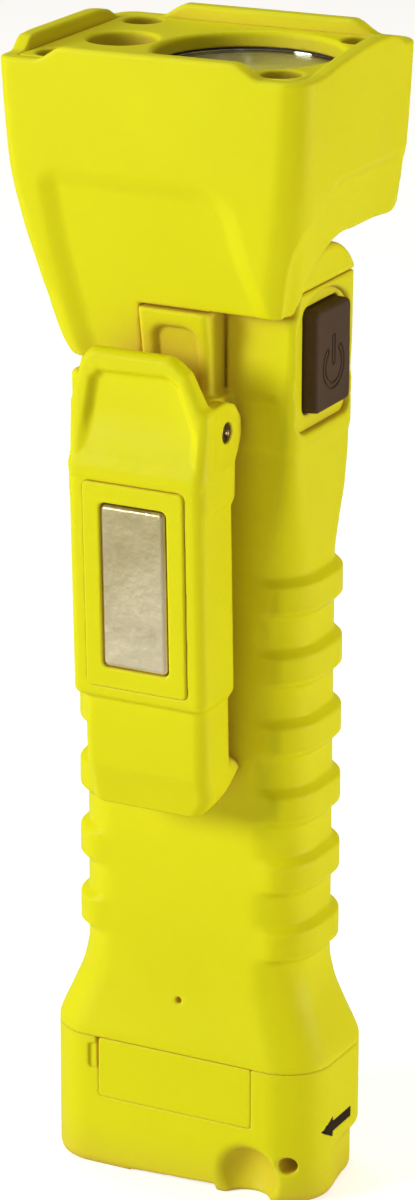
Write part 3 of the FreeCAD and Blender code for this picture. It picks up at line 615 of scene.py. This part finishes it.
SHANK_R = 1.15
HEX_R = 1.15              # from the middle of the socket to its flats


def head_bounds(z):
    """Half width, front face and front corner radii of the head at a height."""
    heights, half, front, right_corner = np.array(HEAD_ROWS).T
    left_corner = line_chain(z, (142, 152, 165, 175), (4.6, 3.9, 3.0, 2.5))
    return (line_chain(z, heights, half), line_chain(z, heights, front), left_corner,
            line_chain(z, heights, right_corner))


def head_section(x, y, z, inset=0.0):
    """Rounded rectangle of the head, with its own radius at each front corner."""
    half, front, left_corner, right_corner = head_bounds(z)
    w = half - inset
    r = np.where(y < 0, np.where(x < 0, left_corner, right_corner), BACK_CORNER) - inset * 0.6
    return rounded_rect(x, y, -w, w, front + inset, HEAD_BACK - inset, np.maximum(r, 0.8))


def front_panel(x, z):
    """Soft recessed panel on the front of the hood, open below."""
    left = line_chain(z, (140, 150, 158, 168, 174), (-15.5, -17.6, -19.0, -20.2, -20.6))
    right = line_chain(z, (150, 153, 158, 165, 171, 175), (20.5, 19.6, 17.7, 15.8, 14.6, 13.5))
    return np.maximum(both(left - x, z - PANEL_TOP_Z, 4.0), both(x - right, z - PANEL_TOP_Z, 6.0))


def side_panel(y, z):
    """Recessed scoop on each narrow side, which follows the hinge below."""
    front = line_chain(z, (150, 153, 160, 167, 175), (-14.5, -16.4, -17.9, -16.8, -10.0))
    return both(front - y, z - SCOOP_TOP_Z, 5.0)


def rim_lift(x, y):
    """Height of the rim: four walls that stand above the corners."""
    u = x - np.where(y > 0, 1.2, 0.0)
    wide = ramp(u, -20.2, -15.0) * (1 - ramp(u, 14.2, 19.4))
    left = line_chain(y, (-17.6, -16.6, -13.6, -10.0, 7.0, 11.0, 14.8, 15.8),
                      (0, 0.05, 0.93, 1, 1, 0.8, 0.05, 0))
    right = line_chain(y, (-17.0, -14.5, -11.0, -6.0, -1.0, 4.5, 8.5, 11.5, 15.0, 16.0),
                       (0, 0.1, 0.38, 0.68, 0.92, 1.06, 1.0, 0.74, 0.06, 0))
    long_sides = np.where(np.abs(y + 0.65) > 17.0, wide, 0)
    short_sides = np.where(x < 0, left, right) * (np.abs(x) > 22.8)
    return RIM_Z + (TOP_Z - 0.5 - RIM_Z) * np.maximum(long_sides, short_sides) + RIM_SLOPE * x


def head_underside(x, y, z):
    """Space the head leaves for the cheek, the boss and the fold."""
    arc = disc(y, z, PIVOT_Y, PIVOT_Z, HOOD_ARC_R)
    rise = line_chain(y, (10.0, 15.5, 18.2, 20.2), (HOOD_Z, HOOD_Z, HOOD_Z + 1.3, HOOD_Z + 2.4))
    side = either(either(arc, z - SKIRT_Z, 0.6), both(PIVOT_Y - y, z - rise), 0.3)
    button_side = both(side, LEG_RIGHT - x)
    back = both(PIVOT_Y + BARREL_R - y, z - rise, 1.5)
    boss_side = both(both(between(x, LOBE_X, 9.0), y + 10.2), z - SKIRT_Z)
    return np.minimum(np.minimum(button_side, back), boss_side)


def leg_field(x, y, z):
    """Hinge barrel and the lobe in front of it."""
    lobe = both(rounded_rect(x, z, -40.0, LOBE_X, LOBE_LOW_Z, 170.0, 4.0), y - PIVOT_Y)
    barrel = both(disc(y, z, PIVOT_Y, PIVOT_Z, BARREL_R), between(x, HEAD_LOW[0] + 6.5, LEG_RIGHT), 0.6)
    return lobe, barrel


def head_field(x, y, z):
    """Hood, skirt, hinge leg and rim in one moulding."""
    outer = head_section(x, y, z)
    half, front, _, _ = head_bounds(z)
    faces_side = ramp(np.abs(x) - half + y - front, -1.5, 1.5) * ramp(np.abs(x), 12.0, 16.0)
    inner_depth = 1.1 * ramp(-front_panel(x, z), -0.3, 3.9) * (1 - faces_side) * (y < 0)
    side_depth = 1.5 * ramp(-side_panel(y, z), -0.2, 2.6) * faces_side * (1 - 0.85 * ramp(y, 11.0, 19.0))
    outer = outer + inner_depth + side_depth
    lobe, barrel = leg_field(x, y, z)
    low_part = both(outer, lobe, 0.8)
    hood = both(outer, SKIRT_Z - z, 0.5)
    behind = both(both(outer, x - LEG_RIGHT), PIVOT_Z - z)
    solid = np.minimum(np.minimum(hood, low_part), behind)
    solid = without(solid, head_underside(x, y, z), 0.5)
    solid = either(solid, barrel, 0.4)
    solid = both(solid, z - rim_lift(x, y), 0.5)
    tray = both(head_section(x, y, z, WALL), PLATE_LOW[2] - z)
    flare = np.clip((z - CAVITY_Z) / 20.1, 0, 1)
    cavity = both(rounded_rect(x, y, -19.5 - 3.7 * flare, 20.5 + 3.3 * flare, -13.5 - 4.1 * flare,
                               15.5 + 0.9 * flare, 4.0), CAVITY_Z - z)
    bore = both(disc(y, z, PIVOT_Y, PIVOT_Z, 8.8), x - 1.0)
    axle = both(disc(y, z, PIVOT_Y, PIVOT_Z, 3.06), x - 9.0)
    duct = block(x, y, z, (-16.0, -4.0, 157.0), (-2.0, 6.5, 169.0), 0.5)
    solid = without(solid, np.minimum(tray, cavity), 0.4)
    solid = without(solid, np.minimum(bore, duct), 0.3)
    return without(solid, axle)


def lamp_bore(x, y, z, lamp, radius, seat, seat_top):
    """Bore through the face plate and the lens seat under it."""
    seat_room = both(disc(x, y, *lamp, seat), z - seat_top)
    return np.minimum(disc(x, y, *lamp, radius), seat_room)


def side_lens_field(x, y, z):
    """Small lens, slightly domed."""
    r = np.hypot(x - SIDE_LAMP[0], y - SIDE_LAMP[1])
    top = SIDE_LENS_HIGH[2] - 0.25 * (r / (SIDE_LENS_HIGH[0] - SIDE_LAMP[0])) ** 2
    return both(both(r - SIDE_LENS_HIGH[0] + SIDE_LAMP[0], z - top, 0.1), SIDE_LENS_LOW[2] - z, 0.1)


def plate_field(x, y, z):
    """Face plate with two lamp bores and four screw recesses."""
    tray = head_section(x, y, z, WALL + 0.03)
    top = PLATE_HIGH[2] + RIM_SLOPE * x
    plate = both(both(tray, z - top, 0.25), PLATE_LOW[2] - z)
    for sx in (-1, 1):
        for sy in (-1, 1):
            spot = disc(x, y, sx * SCREW_X, SCREW_MID_Y + sy * SCREW_Y, 3.2)
            plate = without(plate, both(spot, SCREW_SEAT_Z - z), 0.5)
            plate = without(plate, spot + 2.0)
    main_seat = LENS_HIGH[0] - MAIN_LAMP[0] + 0.05
    side_seat = SIDE_LENS_HIGH[0] - SIDE_LAMP[0] + 0.05
    plate = without(plate, lamp_bore(x, y, z, MAIN_LAMP, MAIN_BORE_R, main_seat, LENS_HIGH[2] + 0.3), 0.9)
    return without(plate, lamp_bore(x, y, z, SIDE_LAMP, SIDE_BORE_R, side_seat, SIDE_LENS_HIGH[2]), 0.8)


def screws_field(x, y, z):
    """Four socket-head screws."""
    d = np.hypot(np.abs(x) - SCREW_X, np.abs(y - SCREW_MID_Y) - SCREW_Y)
    head = both(d - SCREW_HEAD_R, between(z, SCREW_SEAT_Z, SCREWS_HIGH[2] + 0.5), 0.25)
    shank = both(d - SHANK_R, between(z, SCREW_TIP_Z, SCREW_SEAT_Z + 0.2), 0.2)
    a = np.arctan2(np.abs(y - SCREW_MID_Y) - SCREW_Y, np.abs(x) - SCREW_X)
    wedge = np.abs((a / (math.pi / 3)) % 1.0 - 0.5) * (math.pi / 3)
    socket = both(d * np.cos(wedge) - HEX_R, SCREW_SEAT_Z + 0.4 - z)
    return without(np.minimum(head, shank), socket, 0.1)


def cover_field(x, y, z):
    """Cover on top of the cheek."""
    outline = both(disc(y, z, PIVOT_Y, PIVOT_Z, CHEEK_R), y - NECK_BACK, 0.6)
    outline = both(outline, COVER_LOW[2] + 0.04 - z, 0.1)
    return both(both(outline, x - NECK_W, 1.1), COVER_LOW[0] + 0.05 - x, 0.1)


def barrel_cap_field(x, y, z):
    """Round cap on the outer end of the hinge barrel."""
    end = BARREL_CAP_LOW[0]
    cap = both(disc(y, z, PIVOT_Y, PIVOT_Z, 8.65), between(x, end + 0.25, BARREL_CAP_HIGH[0]), 0.5)
    ring = both(np.abs(disc(y, z, PIVOT_Y, PIVOT_Z, 6.2)) - 0.3, x - end - 0.6)
    slot = both(both(np.abs(z - PIVOT_Z) - 0.6, np.abs(y - PIVOT_Y) - 4.0, 0.3), x - end - 1.1)
    return without(cap, np.minimum(ring, slot), 0.2)


# ---------------------------------------------------------------- clip
CLIP_MID = 102.0
CLIP_FACE = -25.8
CLIP_W = CLIP_HIGH[0]
CLIP_WALL = 2.2
PANEL_PROUD = 0.4         # how far the inner panel stands out of the clip's face
MAGNET_PROUD = 0.55


def upright_clip(y, z):
    """Turns clip coordinates so that its leaning plate stands upright."""
    c, s = math.cos(CLIP_TILT), math.sin(CLIP_TILT)
    dy, dz = y - CLIP_FACE, z - CLIP_MID
    return CLIP_FACE + dy * c + dz * s, CLIP_MID - dy * s + dz * c


def ear_field(x, y, z):
    """Ears round the hinge pin, flowing into the pad above and the walls below."""
    side = polygon(y, z, [(-24.0, 124.0), (-24.0, 138.2), (-17.6, 138.4), (-15.3, 137.6), (-13.6, 135.6),
                          (-13.4, 133.4), (-14.4, 131.2), (-15.6, 129.4), (-15.9, 124.0)])
    return both(side - 1.0, np.abs(x) - CLIP_W, 0.5)


def clip_pad_field(x, y, z):
    """Thumb pad: leaning blade with cut corners and a framed, soft recess."""
    side = polygon(y, z, [(-26.3, 127.5), (-26.2, 130.6), (-25.5, 135.0), (-24.8, 146.4), (-24.3, 147.6),
                          (-22.9, 147.6), (-22.2, 146.6), (-21.8, 139.0), (-22.5, 127.5)])
    face = polygon(x, z, [(-11.2, 120.0), (11.6, 120.0), (11.6, 138.0), (8.3, 144.9), (5.2, 147.4),
                          (-8.2, 147.4), (-10.0, 145.4), (-11.1, 141.0), (-11.3, 131.0)])
    pad = both(side - 0.2, face - 0.4, 1.2)
    recess = polygon(x, z, [(-10.0, 130.6), (-8.3, 142.6), (-6.9, 144.0), (5.0, 144.3), (7.0, 143.1),
                            (10.2, 136.0), (10.6, 130.6)])
    depth = 1.0 * ramp(z, 130.0, 138.0) + 0.2
    front = line_chain(z, (129.0, 131.0, 135.0, 146.4, 149.0), (-26.6, -26.4, -25.7, -25.0, -25.0))
    return pad, both(recess, y - front - depth, 1.2)


def clip_field(x, y, z):
    """Clip lever: plate, side walls, tongue, jaw, ears and thumb pad."""
    v, w = upright_clip(y, z)
    plate = both(rounded_rect(v, w, CLIP_FACE, -14.2, 89.3, 129.9, 1.6), np.abs(x) - CLIP_W, 1.7)
    tongue_side = polygon(v, w, [(CLIP_FACE + 1.7, 92.0), (CLIP_FACE + 1.7, 77.3), (CLIP_FACE + 2.9, 73.4),
                                 (-22.0, 70.1), (-21.0, 69.5), (-19.4, 70.0), (-10.6, 74.9), (-10.4, 76.2),
                                 (-11.0, 76.8), (-14.2, 77.8), (-14.2, 92.0)])
    across = np.abs(x) + 2.2 * ramp(-w, -73.5, -69.0) * (x > 0)
    tongue = both(tongue_side - 0.1, across - CLIP_W + 0.9, 2.2)
    solid = either(either(plate, tongue, 0.8), ear_field(x, y, z), 1.2)
    pad, recess = clip_pad_field(x, y, z)
    solid = without(either(solid, pad, 1.0), recess, 0.8)
    inside = np.abs(x) - CLIP_W + CLIP_WALL
    channel = both(inside, both(CLIP_FACE + 2.9 - v, both(78.2 - w, w - 128.0), 0.6), 0.8)
    behind_pad = both(both(-22.7 - y, z - 139.4), 120.0 - z)
    hinge_room = both(inside, np.minimum(disc(y, z, PIN_Y, PIN_Z, 5.3), behind_pad), 0.3)
    solid = without(solid, np.minimum(channel, hinge_room), 0.3)
    seat = both(rounded_rect(x, w, -9.05, 9.05, 91.75, 126.35, 1.2), v - CLIP_FACE - 2.62)
    solid = without(solid, seat, 0.15)
    solid = without(solid, disc(y, z, PIN_Y, PIN_Z, 1.7), 0.25)
    return both(solid, y + 10.85)


def holder_field(x, y, z):
    """Raised inner panel that carries the magnet."""
    v, w = upright_clip(y, z)
    panel = both(rounded_rect(x, w, -9.0, 9.0, 91.8, 126.3, 0.9),
                 between(v, CLIP_FACE - PANEL_PROUD, CLIP_FACE + 2.6), 0.35)
    window = both(rounded_rect(x, w, -5.95, 5.95, 95.25, 123.05, 1.0), v - CLIP_FACE - 2.2)
    return without(panel, window, 0.35)


def magnet_field(x, y, z):
    """Nickel-plated magnet with a bevelled edge."""
    v, w = upright_clip(y, z)
    side = rounded_rect(x, w, -5.7, 5.7, 95.5, 122.8, 0.9)
    slab = both(side, between(v, CLIP_FACE - MAGNET_PROUD, CLIP_FACE + 1.5))
    bevel = (side + (CLIP_FACE - MAGNET_PROUD - v) + 0.45) / math.sqrt(2)
    return both(slab, bevel, 0.12)


def pin_field(x, y, z):
    """Hinge pin with rounded, dimpled ends."""
    bar = both(disc(y, z, PIN_Y, PIN_Z, 1.55), np.abs(x) - PIN_HIGH[0], 0.3)
    dimple = np.sqrt((np.abs(x) - PIN_HIGH[0] - 0.9) ** 2 + (y - PIN_Y) ** 2 + (z - PIN_Z) ** 2) - 1.25
    return without(bar, dimple, 0.1)


# ---------------------------------------------------------------- materials
def new_material(name):
    """Empty node material with its output and a Principled shader."""
    material = bpy.data.materials.new(name)
    material.use_nodes = True
    tree = material.node_tree
    shader = tree.nodes["Principled BSDF"]
    return material, tree, shader


def node(tree, kind, **inputs):
    """Adds a node and sets its inputs by their labels."""
    made = tree.nodes.new(kind)
    for label, value in inputs.items():
        made.inputs[label.title()].default_value = value
    return made


def ramp_node(tree, source, stops):
    """Colour ramp fed by source; stops are (place, colour)."""
    made = tree.nodes.new("ShaderNodeValToRGB")
    elements = made.color_ramp.elements
    while len(elements) < len(stops):
        elements.new(0.5)
    for element, (place, colour) in zip(elements, stops):
        element.position = place
        element.color = (*colour, 1.0) if len(colour) == 3 else colour
    tree.links.new(source, made.inputs["Fac"])
    return made


def noise(tree, scale, detail=3.0, roughness=0.5):
    """Noise in object space."""
    place = node(tree, "ShaderNodeTexCoord")
    made = node(tree, "ShaderNodeTexNoise", scale=scale, detail=detail, roughness=roughness)
    tree.links.new(place.outputs["Object"], made.inputs["Vector"])
    return made


def mix_colour(tree, blend, amount, first, second):
    """Mixes two colours; amount, first and second are sockets or values."""
    made = tree.nodes.new("ShaderNodeMix")
    made.data_type = "RGBA"
    made.blend_type = blend
    for index, value in ((0, amount), (6, first), (7, second)):
        if hasattr(value, "links"):
            tree.links.new(value, made.inputs[index])
        else:
            made.inputs[index].default_value = value
    return made.outputs[2]


def surface(name, dark, light, roughness, grain_scale=900.0, grain=0.02, metallic=0.0, patch_scale=35.0,
            wear=0.0, wear_colour=(1, 1, 1), specular=0.5, spread=0.06):
    """Moulded or metal surface: patchy colour and roughness, a fine grain in the bump, and worn edges."""
    material, tree, shader = new_material(name)
    patches = noise(tree, patch_scale, 4.0)
    colour = ramp_node(tree, patches.outputs["Fac"], ((0.3, dark), (0.7, light))).outputs["Color"]
    grain_noise = noise(tree, grain_scale, 2.0)
    if wear:
        geometry = node(tree, "ShaderNodeNewGeometry")
        breakup = noise(tree, 220.0, 4.0)
        lifted = tree.nodes.new("ShaderNodeMath")
        lifted.operation = "MULTIPLY_ADD"
        tree.links.new(breakup.outputs["Fac"], lifted.inputs[0])
        lifted.inputs[1].default_value = 0.06
        tree.links.new(geometry.outputs["Pointiness"], lifted.inputs[2])
        edge = ramp_node(tree, lifted.outputs[0], ((0.55, (0, 0, 0)), (0.62, (wear, wear, wear))))
        colour = mix_colour(tree, "MIX", edge.outputs["Color"], colour, (*wear_colour, 1.0))
    tree.links.new(colour, shader.inputs["Base Color"])
    low, high = roughness - spread, roughness + spread
    rough = ramp_node(tree, noise(tree, patch_scale * 4, 5.0).outputs["Fac"],
                      ((0.3, (low,) * 3), (0.7, (high,) * 3)))
    tree.links.new(rough.outputs["Color"], shader.inputs["Roughness"])
    bump = node(tree, "ShaderNodeBump", strength=1.0, distance=grain * MM)
    tree.links.new(grain_noise.outputs["Fac"], bump.inputs["Height"])
    tree.links.new(bump.outputs["Normal"], shader.inputs["Normal"])
    shader.inputs["Metallic"].default_value = metallic
    shader.inputs["Specular IOR Level"].default_value = specular
    return material, tree, shader


def paint_shade_in_recesses(tree, shader, tint, reach):
    """Painted shade: tints the colour that feeds a shader wherever the surface sits in a recess, up to reach in
    mm.
    """
    colour = shader.inputs["Base Color"].links[0].from_socket
    cavity = tree.nodes.new("ShaderNodeAmbientOcclusion")
    cavity.samples = 6
    cavity.inputs["Distance"].default_value = reach * MM
    depth = ramp_node(tree, cavity.outputs["AO"], ((0.2, (0.8,) * 3), (0.75, (0.0,) * 3)))
    shaded_colour = mix_colour(tree, "MIX", depth.outputs["Color"], colour, (*tint, 1.0))
    tree.links.new(shaded_colour, shader.inputs["Base Color"])


def yellow_plastic():
    """Fluorescent lemon-yellow moulding with a faint painted glow, painted shade in its recesses, and scuffed
    edges.
    """
    material, tree, shader = surface(
        "yellow_plastic", (0.87, 0.83, 0.004), (0.91, 0.875, 0.006), 0.5, grain_scale=1400.0, grain=0.03,
        wear=0.16, wear_colour=(0.92, 0.90, 0.12), specular=0.18)
    # Painted shade: the colour turns brown in recesses, beside the clip and round its ears, wherever ambient
    # occlusion finds a surface within 16 mm.
    paint_shade_in_recesses(tree, shader, (0.70, 0.43, 0.09), 16.0)
    shader.inputs["Subsurface Weight"].default_value = 0.12
    shader.inputs["Subsurface Radius"].default_value = (1.0, 0.8, 0.05)
    shader.inputs["Subsurface Scale"].default_value = 1.5 * MM
    # Painted glow: a faint constant yellow emission that brightens the plastic without any lamp.
    shader.inputs["Emission Color"].default_value = (0.86, 0.83, 0.0, 1.0)
    shader.inputs["Emission Strength"].default_value = 0.02
    return material


def nickel():
    """Nickel plate, warm, finely pitted and mottled, with a painted reflection that darkens it towards the top."""
    material, tree, shader = surface(
        "nickel", (0.74, 0.66, 0.48), (0.97, 0.90, 0.74), 0.38, grain_scale=900.0, grain=0.1, metallic=1.0,
        patch_scale=90.0, spread=0.1)
    # Painted reflection: the colour runs from pale at the magnet's bottom to olive-dark at its top, standing in
    # for the darker surroundings that it reflects.
    place = node(tree, "ShaderNodeTexCoord")
    parts = node(tree, "ShaderNodeSeparateXYZ")
    tree.links.new(place.outputs["Object"], parts.inputs[0])
    height = node(tree, "ShaderNodeMapRange")
    height.inputs["From Min"].default_value = MAGNET_LOW[2] * MM
    height.inputs["From Max"].default_value = MAGNET_HIGH[2] * MM
    tree.links.new(parts.outputs["Z"], height.inputs["Value"])
    painted_reflection_ramp = ramp_node(tree, height.outputs["Result"], ((0.1, (1.0, 0.98, 0.93)), (0.95, (0.70, 0.66, 0.50))))
    colour = shader.inputs["Base Color"].links[0].from_socket
    reflection_painted_colour = mix_colour(tree, "MULTIPLY", 1.0, colour, painted_reflection_ramp.outputs["Color"])
    tree.links.new(reflection_painted_colour, shader.inputs["Base Color"])
    return material


def clear_plastic():
    """Clear lens."""
    material, tree, shader = new_material("clear_lens")
    haze = ramp_node(tree, noise(tree, 300.0).outputs["Fac"], ((0.4, (0.02,) * 3), (0.7, (0.06,) * 3)))
    tree.links.new(haze.outputs["Color"], shader.inputs["Roughness"])
    shader.inputs["Base Color"].default_value = (0.97, 0.99, 0.95, 1.0)
    shader.inputs["Transmission Weight"].default_value = 1.0
    shader.inputs["IOR"].default_value = 1.49
    return material


def simple(name, dark, light, roughness, **more):
    """Only the material of surface()."""
    return surface(name, dark, light, roughness, **more)[0]


MATERIALS = {
    "yellow_plastic": yellow_plastic(),
    "button_rubber": simple("button_rubber", (0.074, 0.043, 0.025), (0.104, 0.062, 0.037), 0.66,
                            grain_scale=1800.0, grain=0.05, wear=0.3, wear_colour=(0.13, 0.09, 0.06),
                            specular=0.2),
    "mark_ink": simple("mark_ink", (0.016, 0.006, 0.002), (0.030, 0.012, 0.004), 0.6, grain_scale=2500.0,
                       specular=0.15),
    "black_plastic": simple("black_plastic", (0.02, 0.02, 0.02), (0.035, 0.035, 0.036), 0.5),
    "nickel": nickel(),
    "dark_steel": simple("dark_steel", (0.035, 0.024, 0.014), (0.17, 0.12, 0.07), 0.34, metallic=1.0,
                         patch_scale=600.0, grain=0.03),
    "spring_steel": simple("spring_steel", (0.42, 0.42, 0.43), (0.6, 0.6, 0.61), 0.3, metallic=1.0),
    "aluminium": simple("aluminium", (0.62, 0.63, 0.65), (0.76, 0.77, 0.79), 0.32, metallic=1.0,
                        patch_scale=200.0),
    "clear_lens": clear_plastic(),
    "mirror_coat": simple("mirror_coat", (0.80, 0.80, 0.76), (0.86, 0.86, 0.83), 0.12, metallic=1.0,
                          spread=0.03, grain=0.002),
    "seal_rubber": simple("seal_rubber", (0.030, 0.022, 0.010), (0.055, 0.040, 0.018), 0.75, grain=0.06),
    "circuit_board": simple("circuit_board", (0.01, 0.09, 0.035), (0.02, 0.16, 0.06), 0.35,
                            patch_scale=500.0),
    "led_phosphor": simple("led_phosphor", (0.72, 0.55, 0.07), (0.85, 0.7, 0.14), 0.3, grain_scale=3000.0),
    "contact_brass": simple("contact_brass", (0.62, 0.44, 0.16), (0.8, 0.62, 0.28), 0.28, metallic=1.0),
    "cell_wrap": simple("cell_wrap", (0.05, 0.055, 0.06), (0.09, 0.1, 0.11), 0.25, grain=0.01),
    "wire_insulation": simple("wire_insulation", (0.38, 0.02, 0.015), (0.5, 0.035, 0.02), 0.45),
}
SLOT_OF = {part["node"]: part["material_slot"] for part in frame["record"]["subparts"]}
for name, obj in frame["nodes"].items():
    finish = MATERIALS[SLOT_OF[name]]
    if obj.material_slots:
        for place in obj.material_slots:
            place.material = finish
    else:
        obj.data.materials.append(finish)

# ---------------------------------------------------------------- building
YELLOW = "yellow_plastic"
PIECES = (
    # name, field, lowest corner, highest corner, cell, material slot, body, CAD node
    ("grip_moulding", grip_field, GRIP_LOW - 0.5, GRIP_HIGH + 0.5, 0.42, YELLOW, "grip", "grip_housing"),
    ("hinge_cover_moulding", cover_field, COVER_LOW, COVER_HIGH, 0.2, YELLOW, "grip", "hinge_cover"),
    ("switch_surround", bezel_ring_field, RING_LOW, RING_HIGH, 0.22, YELLOW, "grip", "switch_bezel"),
    ("button_moulding", button_field, BUTTON_LOW, BUTTON_HIGH, 0.14, "button_rubber", "button",
     "power_button"),
    ("cap_moulding", cap_field, CAP_LOW, CAP_HIGH, 0.34, YELLOW, "tail_cap", "tail_cap"),
    ("arrow_inlay", arrow_field, ARROW_LOW, ARROW_HIGH, 0.12, "mark_ink", "tail_cap", "arrow_mark"),
    ("latch_plate", latch_field, LATCH_LOW, LATCH_HIGH, 0.24, YELLOW, "door_latch", "door_latch"),
    ("head_moulding", head_field, HEAD_LOW - 0.2, HEAD_HIGH + 0.2, 0.42, YELLOW, "head", "head_housing"),
    ("face_plate", plate_field, PLATE_LOW, PLATE_HIGH + 0.5, 0.3, YELLOW, "head", "bezel_plate"),
    ("side_lens_disc", side_lens_field, SIDE_LENS_LOW, SIDE_LENS_HIGH, 0.25, "clear_lens", "head",
     "side_lens"),
    ("face_screws", screws_field, SCREWS_LOW - 0.8, SCREWS_HIGH + 0.8, 0.2, "dark_steel", "head",
     "bezel_screws"),
    ("hinge_end_cap", barrel_cap_field, BARREL_CAP_LOW, BARREL_CAP_HIGH, 0.26, YELLOW, "head", "barrel_cap"),
    ("clip_moulding", clip_field, CLIP_LOW - 0.5, CLIP_HIGH + 0.5, 0.3, YELLOW, "clip", "clip_lever"),
    ("magnet_panel", holder_field, HOLDER_LOW, HOLDER_HIGH, 0.24, YELLOW, "clip", "magnet_holder"),
    ("magnet_block", magnet_field, MAGNET_LOW - 0.3, MAGNET_HIGH + 0.3, 0.2, "nickel", "clip", "clip_magnet"),
    ("clip_pin_ends", pin_field, PIN_LOW, PIN_HIGH, 0.14, "dark_steel", "grip", "clip_pin"),
)
for piece in PIECES:
    moulding(*piece)

# ---------------------------------------------------------------- studio
VIEW_AZIMUTH = math.radians(27.3)
VIEW_PITCH = math.radians(18.705)
VIEW_ROLL = math.radians(0.168)
VIEW_DISTANCE = 0.7404
VIEW_LENS = 135.79
AIM = Vector((-0.0004, -0.0002, 0.09965))


def aim_at(obj, place, target, roll=0.0):
    """Puts an object at place, looking at target."""
    turn = (target - place).to_track_quat("-Z", "Y").to_matrix().to_4x4()
    obj.matrix_world = Matrix.Translation(place) @ turn @ Matrix.Rotation(roll, 4, "Z")


def add_camera():
    """Camera at the reference viewpoint."""
    data = bpy.data.cameras.new("camera")
    data.lens = VIEW_LENS
    data.sensor_width = 36.0
    data.clip_start = 0.01
    camera = bpy.data.objects.new("camera", data)
    bpy.context.scene.collection.objects.link(camera)
    level = math.cos(VIEW_PITCH)
    back = Vector((math.sin(VIEW_AZIMUTH) * level, -math.cos(VIEW_AZIMUTH) * level, math.sin(VIEW_PITCH)))
    aim_at(camera, AIM + back * VIEW_DISTANCE, AIM, VIEW_ROLL)
    bpy.context.scene.camera = camera


def add_light(name, place, size, power, colour):
    """Round soft lamp aimed at the middle of the object."""
    data = bpy.data.lights.new(name, "AREA")
    data.shape = "DISK"
    data.size = size
    data.energy = power
    data.color = colour
    lamp = bpy.data.objects.new(name, data)
    bpy.context.scene.collection.objects.link(lamp)
    aim_at(lamp, Vector(place), AIM)


def seen_by_camera(tree, plain, shown):
    """Mixes two shaders: the second only where the camera looks straight at it."""
    path = node(tree, "ShaderNodeLightPath")
    mix = node(tree, "ShaderNodeMixShader")
    tree.links.new(path.outputs["Is Camera Ray"], mix.inputs[0])
    tree.links.new(plain, mix.inputs[1])
    tree.links.new(shown, mix.inputs[2])
    return mix.outputs[0]


def floor_paper():
    """White paper that keeps a faint contact shadow."""
    material, tree, shader = surface("floor_paper", (0.80, 0.80, 0.80), (0.84, 0.84, 0.84), 0.9,
                                     patch_scale=3.0, specular=0.1)
    glow = node(tree, "ShaderNodeEmission", color=(1, 1, 1, 1), strength=0.68)
    lit = node(tree, "ShaderNodeAddShader")
    tree.links.new(shader.outputs[0], lit.inputs[0])
    tree.links.new(glow.outputs[0], lit.inputs[1])
    out = tree.nodes["Material Output"]
    tree.links.new(seen_by_camera(tree, shader.outputs[0], lit.outputs[0]), out.inputs["Surface"])
    return material


def add_floor():
    """Plain pale floor."""
    mesh = bpy.data.meshes.new("floor")
    half = 6.0
    corners = [(-half, -half, 0), (half, -half, 0), (half, half, 0), (-half, half, 0)]
    mesh.from_pydata(corners, [], [(0, 1, 2, 3)])
    floor = bpy.data.objects.new("floor", mesh)
    bpy.context.scene.collection.objects.link(floor)
    mesh.materials.append(floor_paper())


def add_world():
    """Dim even surroundings that look plain white to the camera."""
    world = bpy.data.worlds.new("studio")
    bpy.context.scene.world = world
    world.use_nodes = True
    tree = world.node_tree
    back = tree.nodes["Background"]
    back.inputs["Color"].default_value = (1.0, 0.88, 0.74, 1)
    back.inputs["Strength"].default_value = 0.175
    white = node(tree, "ShaderNodeBackground", color=(1, 1, 1, 1), strength=1.0)
    out = tree.nodes["World Output"]
    tree.links.new(seen_by_camera(tree, back.outputs[0], white.outputs[0]), out.inputs["Surface"])


add_camera()
add_floor()
add_world()
add_light("key", (-0.72, -0.88, 0.48), 0.45, 9.2, (0.97, 1.0, 0.90))
add_light("fill", (0.64, -0.84, 0.22), 0.3, 0.4, (1.0, 0.97, 0.88))
add_light("side", (0.95, 0.28, 0.11), 0.18, 4.3, (1.0, 0.96, 0.86))
add_light("top", (-0.25, 0.25, 1.1), 0.5, 2.8, (1.0, 0.97, 0.88))
bpy.context.scene.view_settings.view_transform = "Standard"
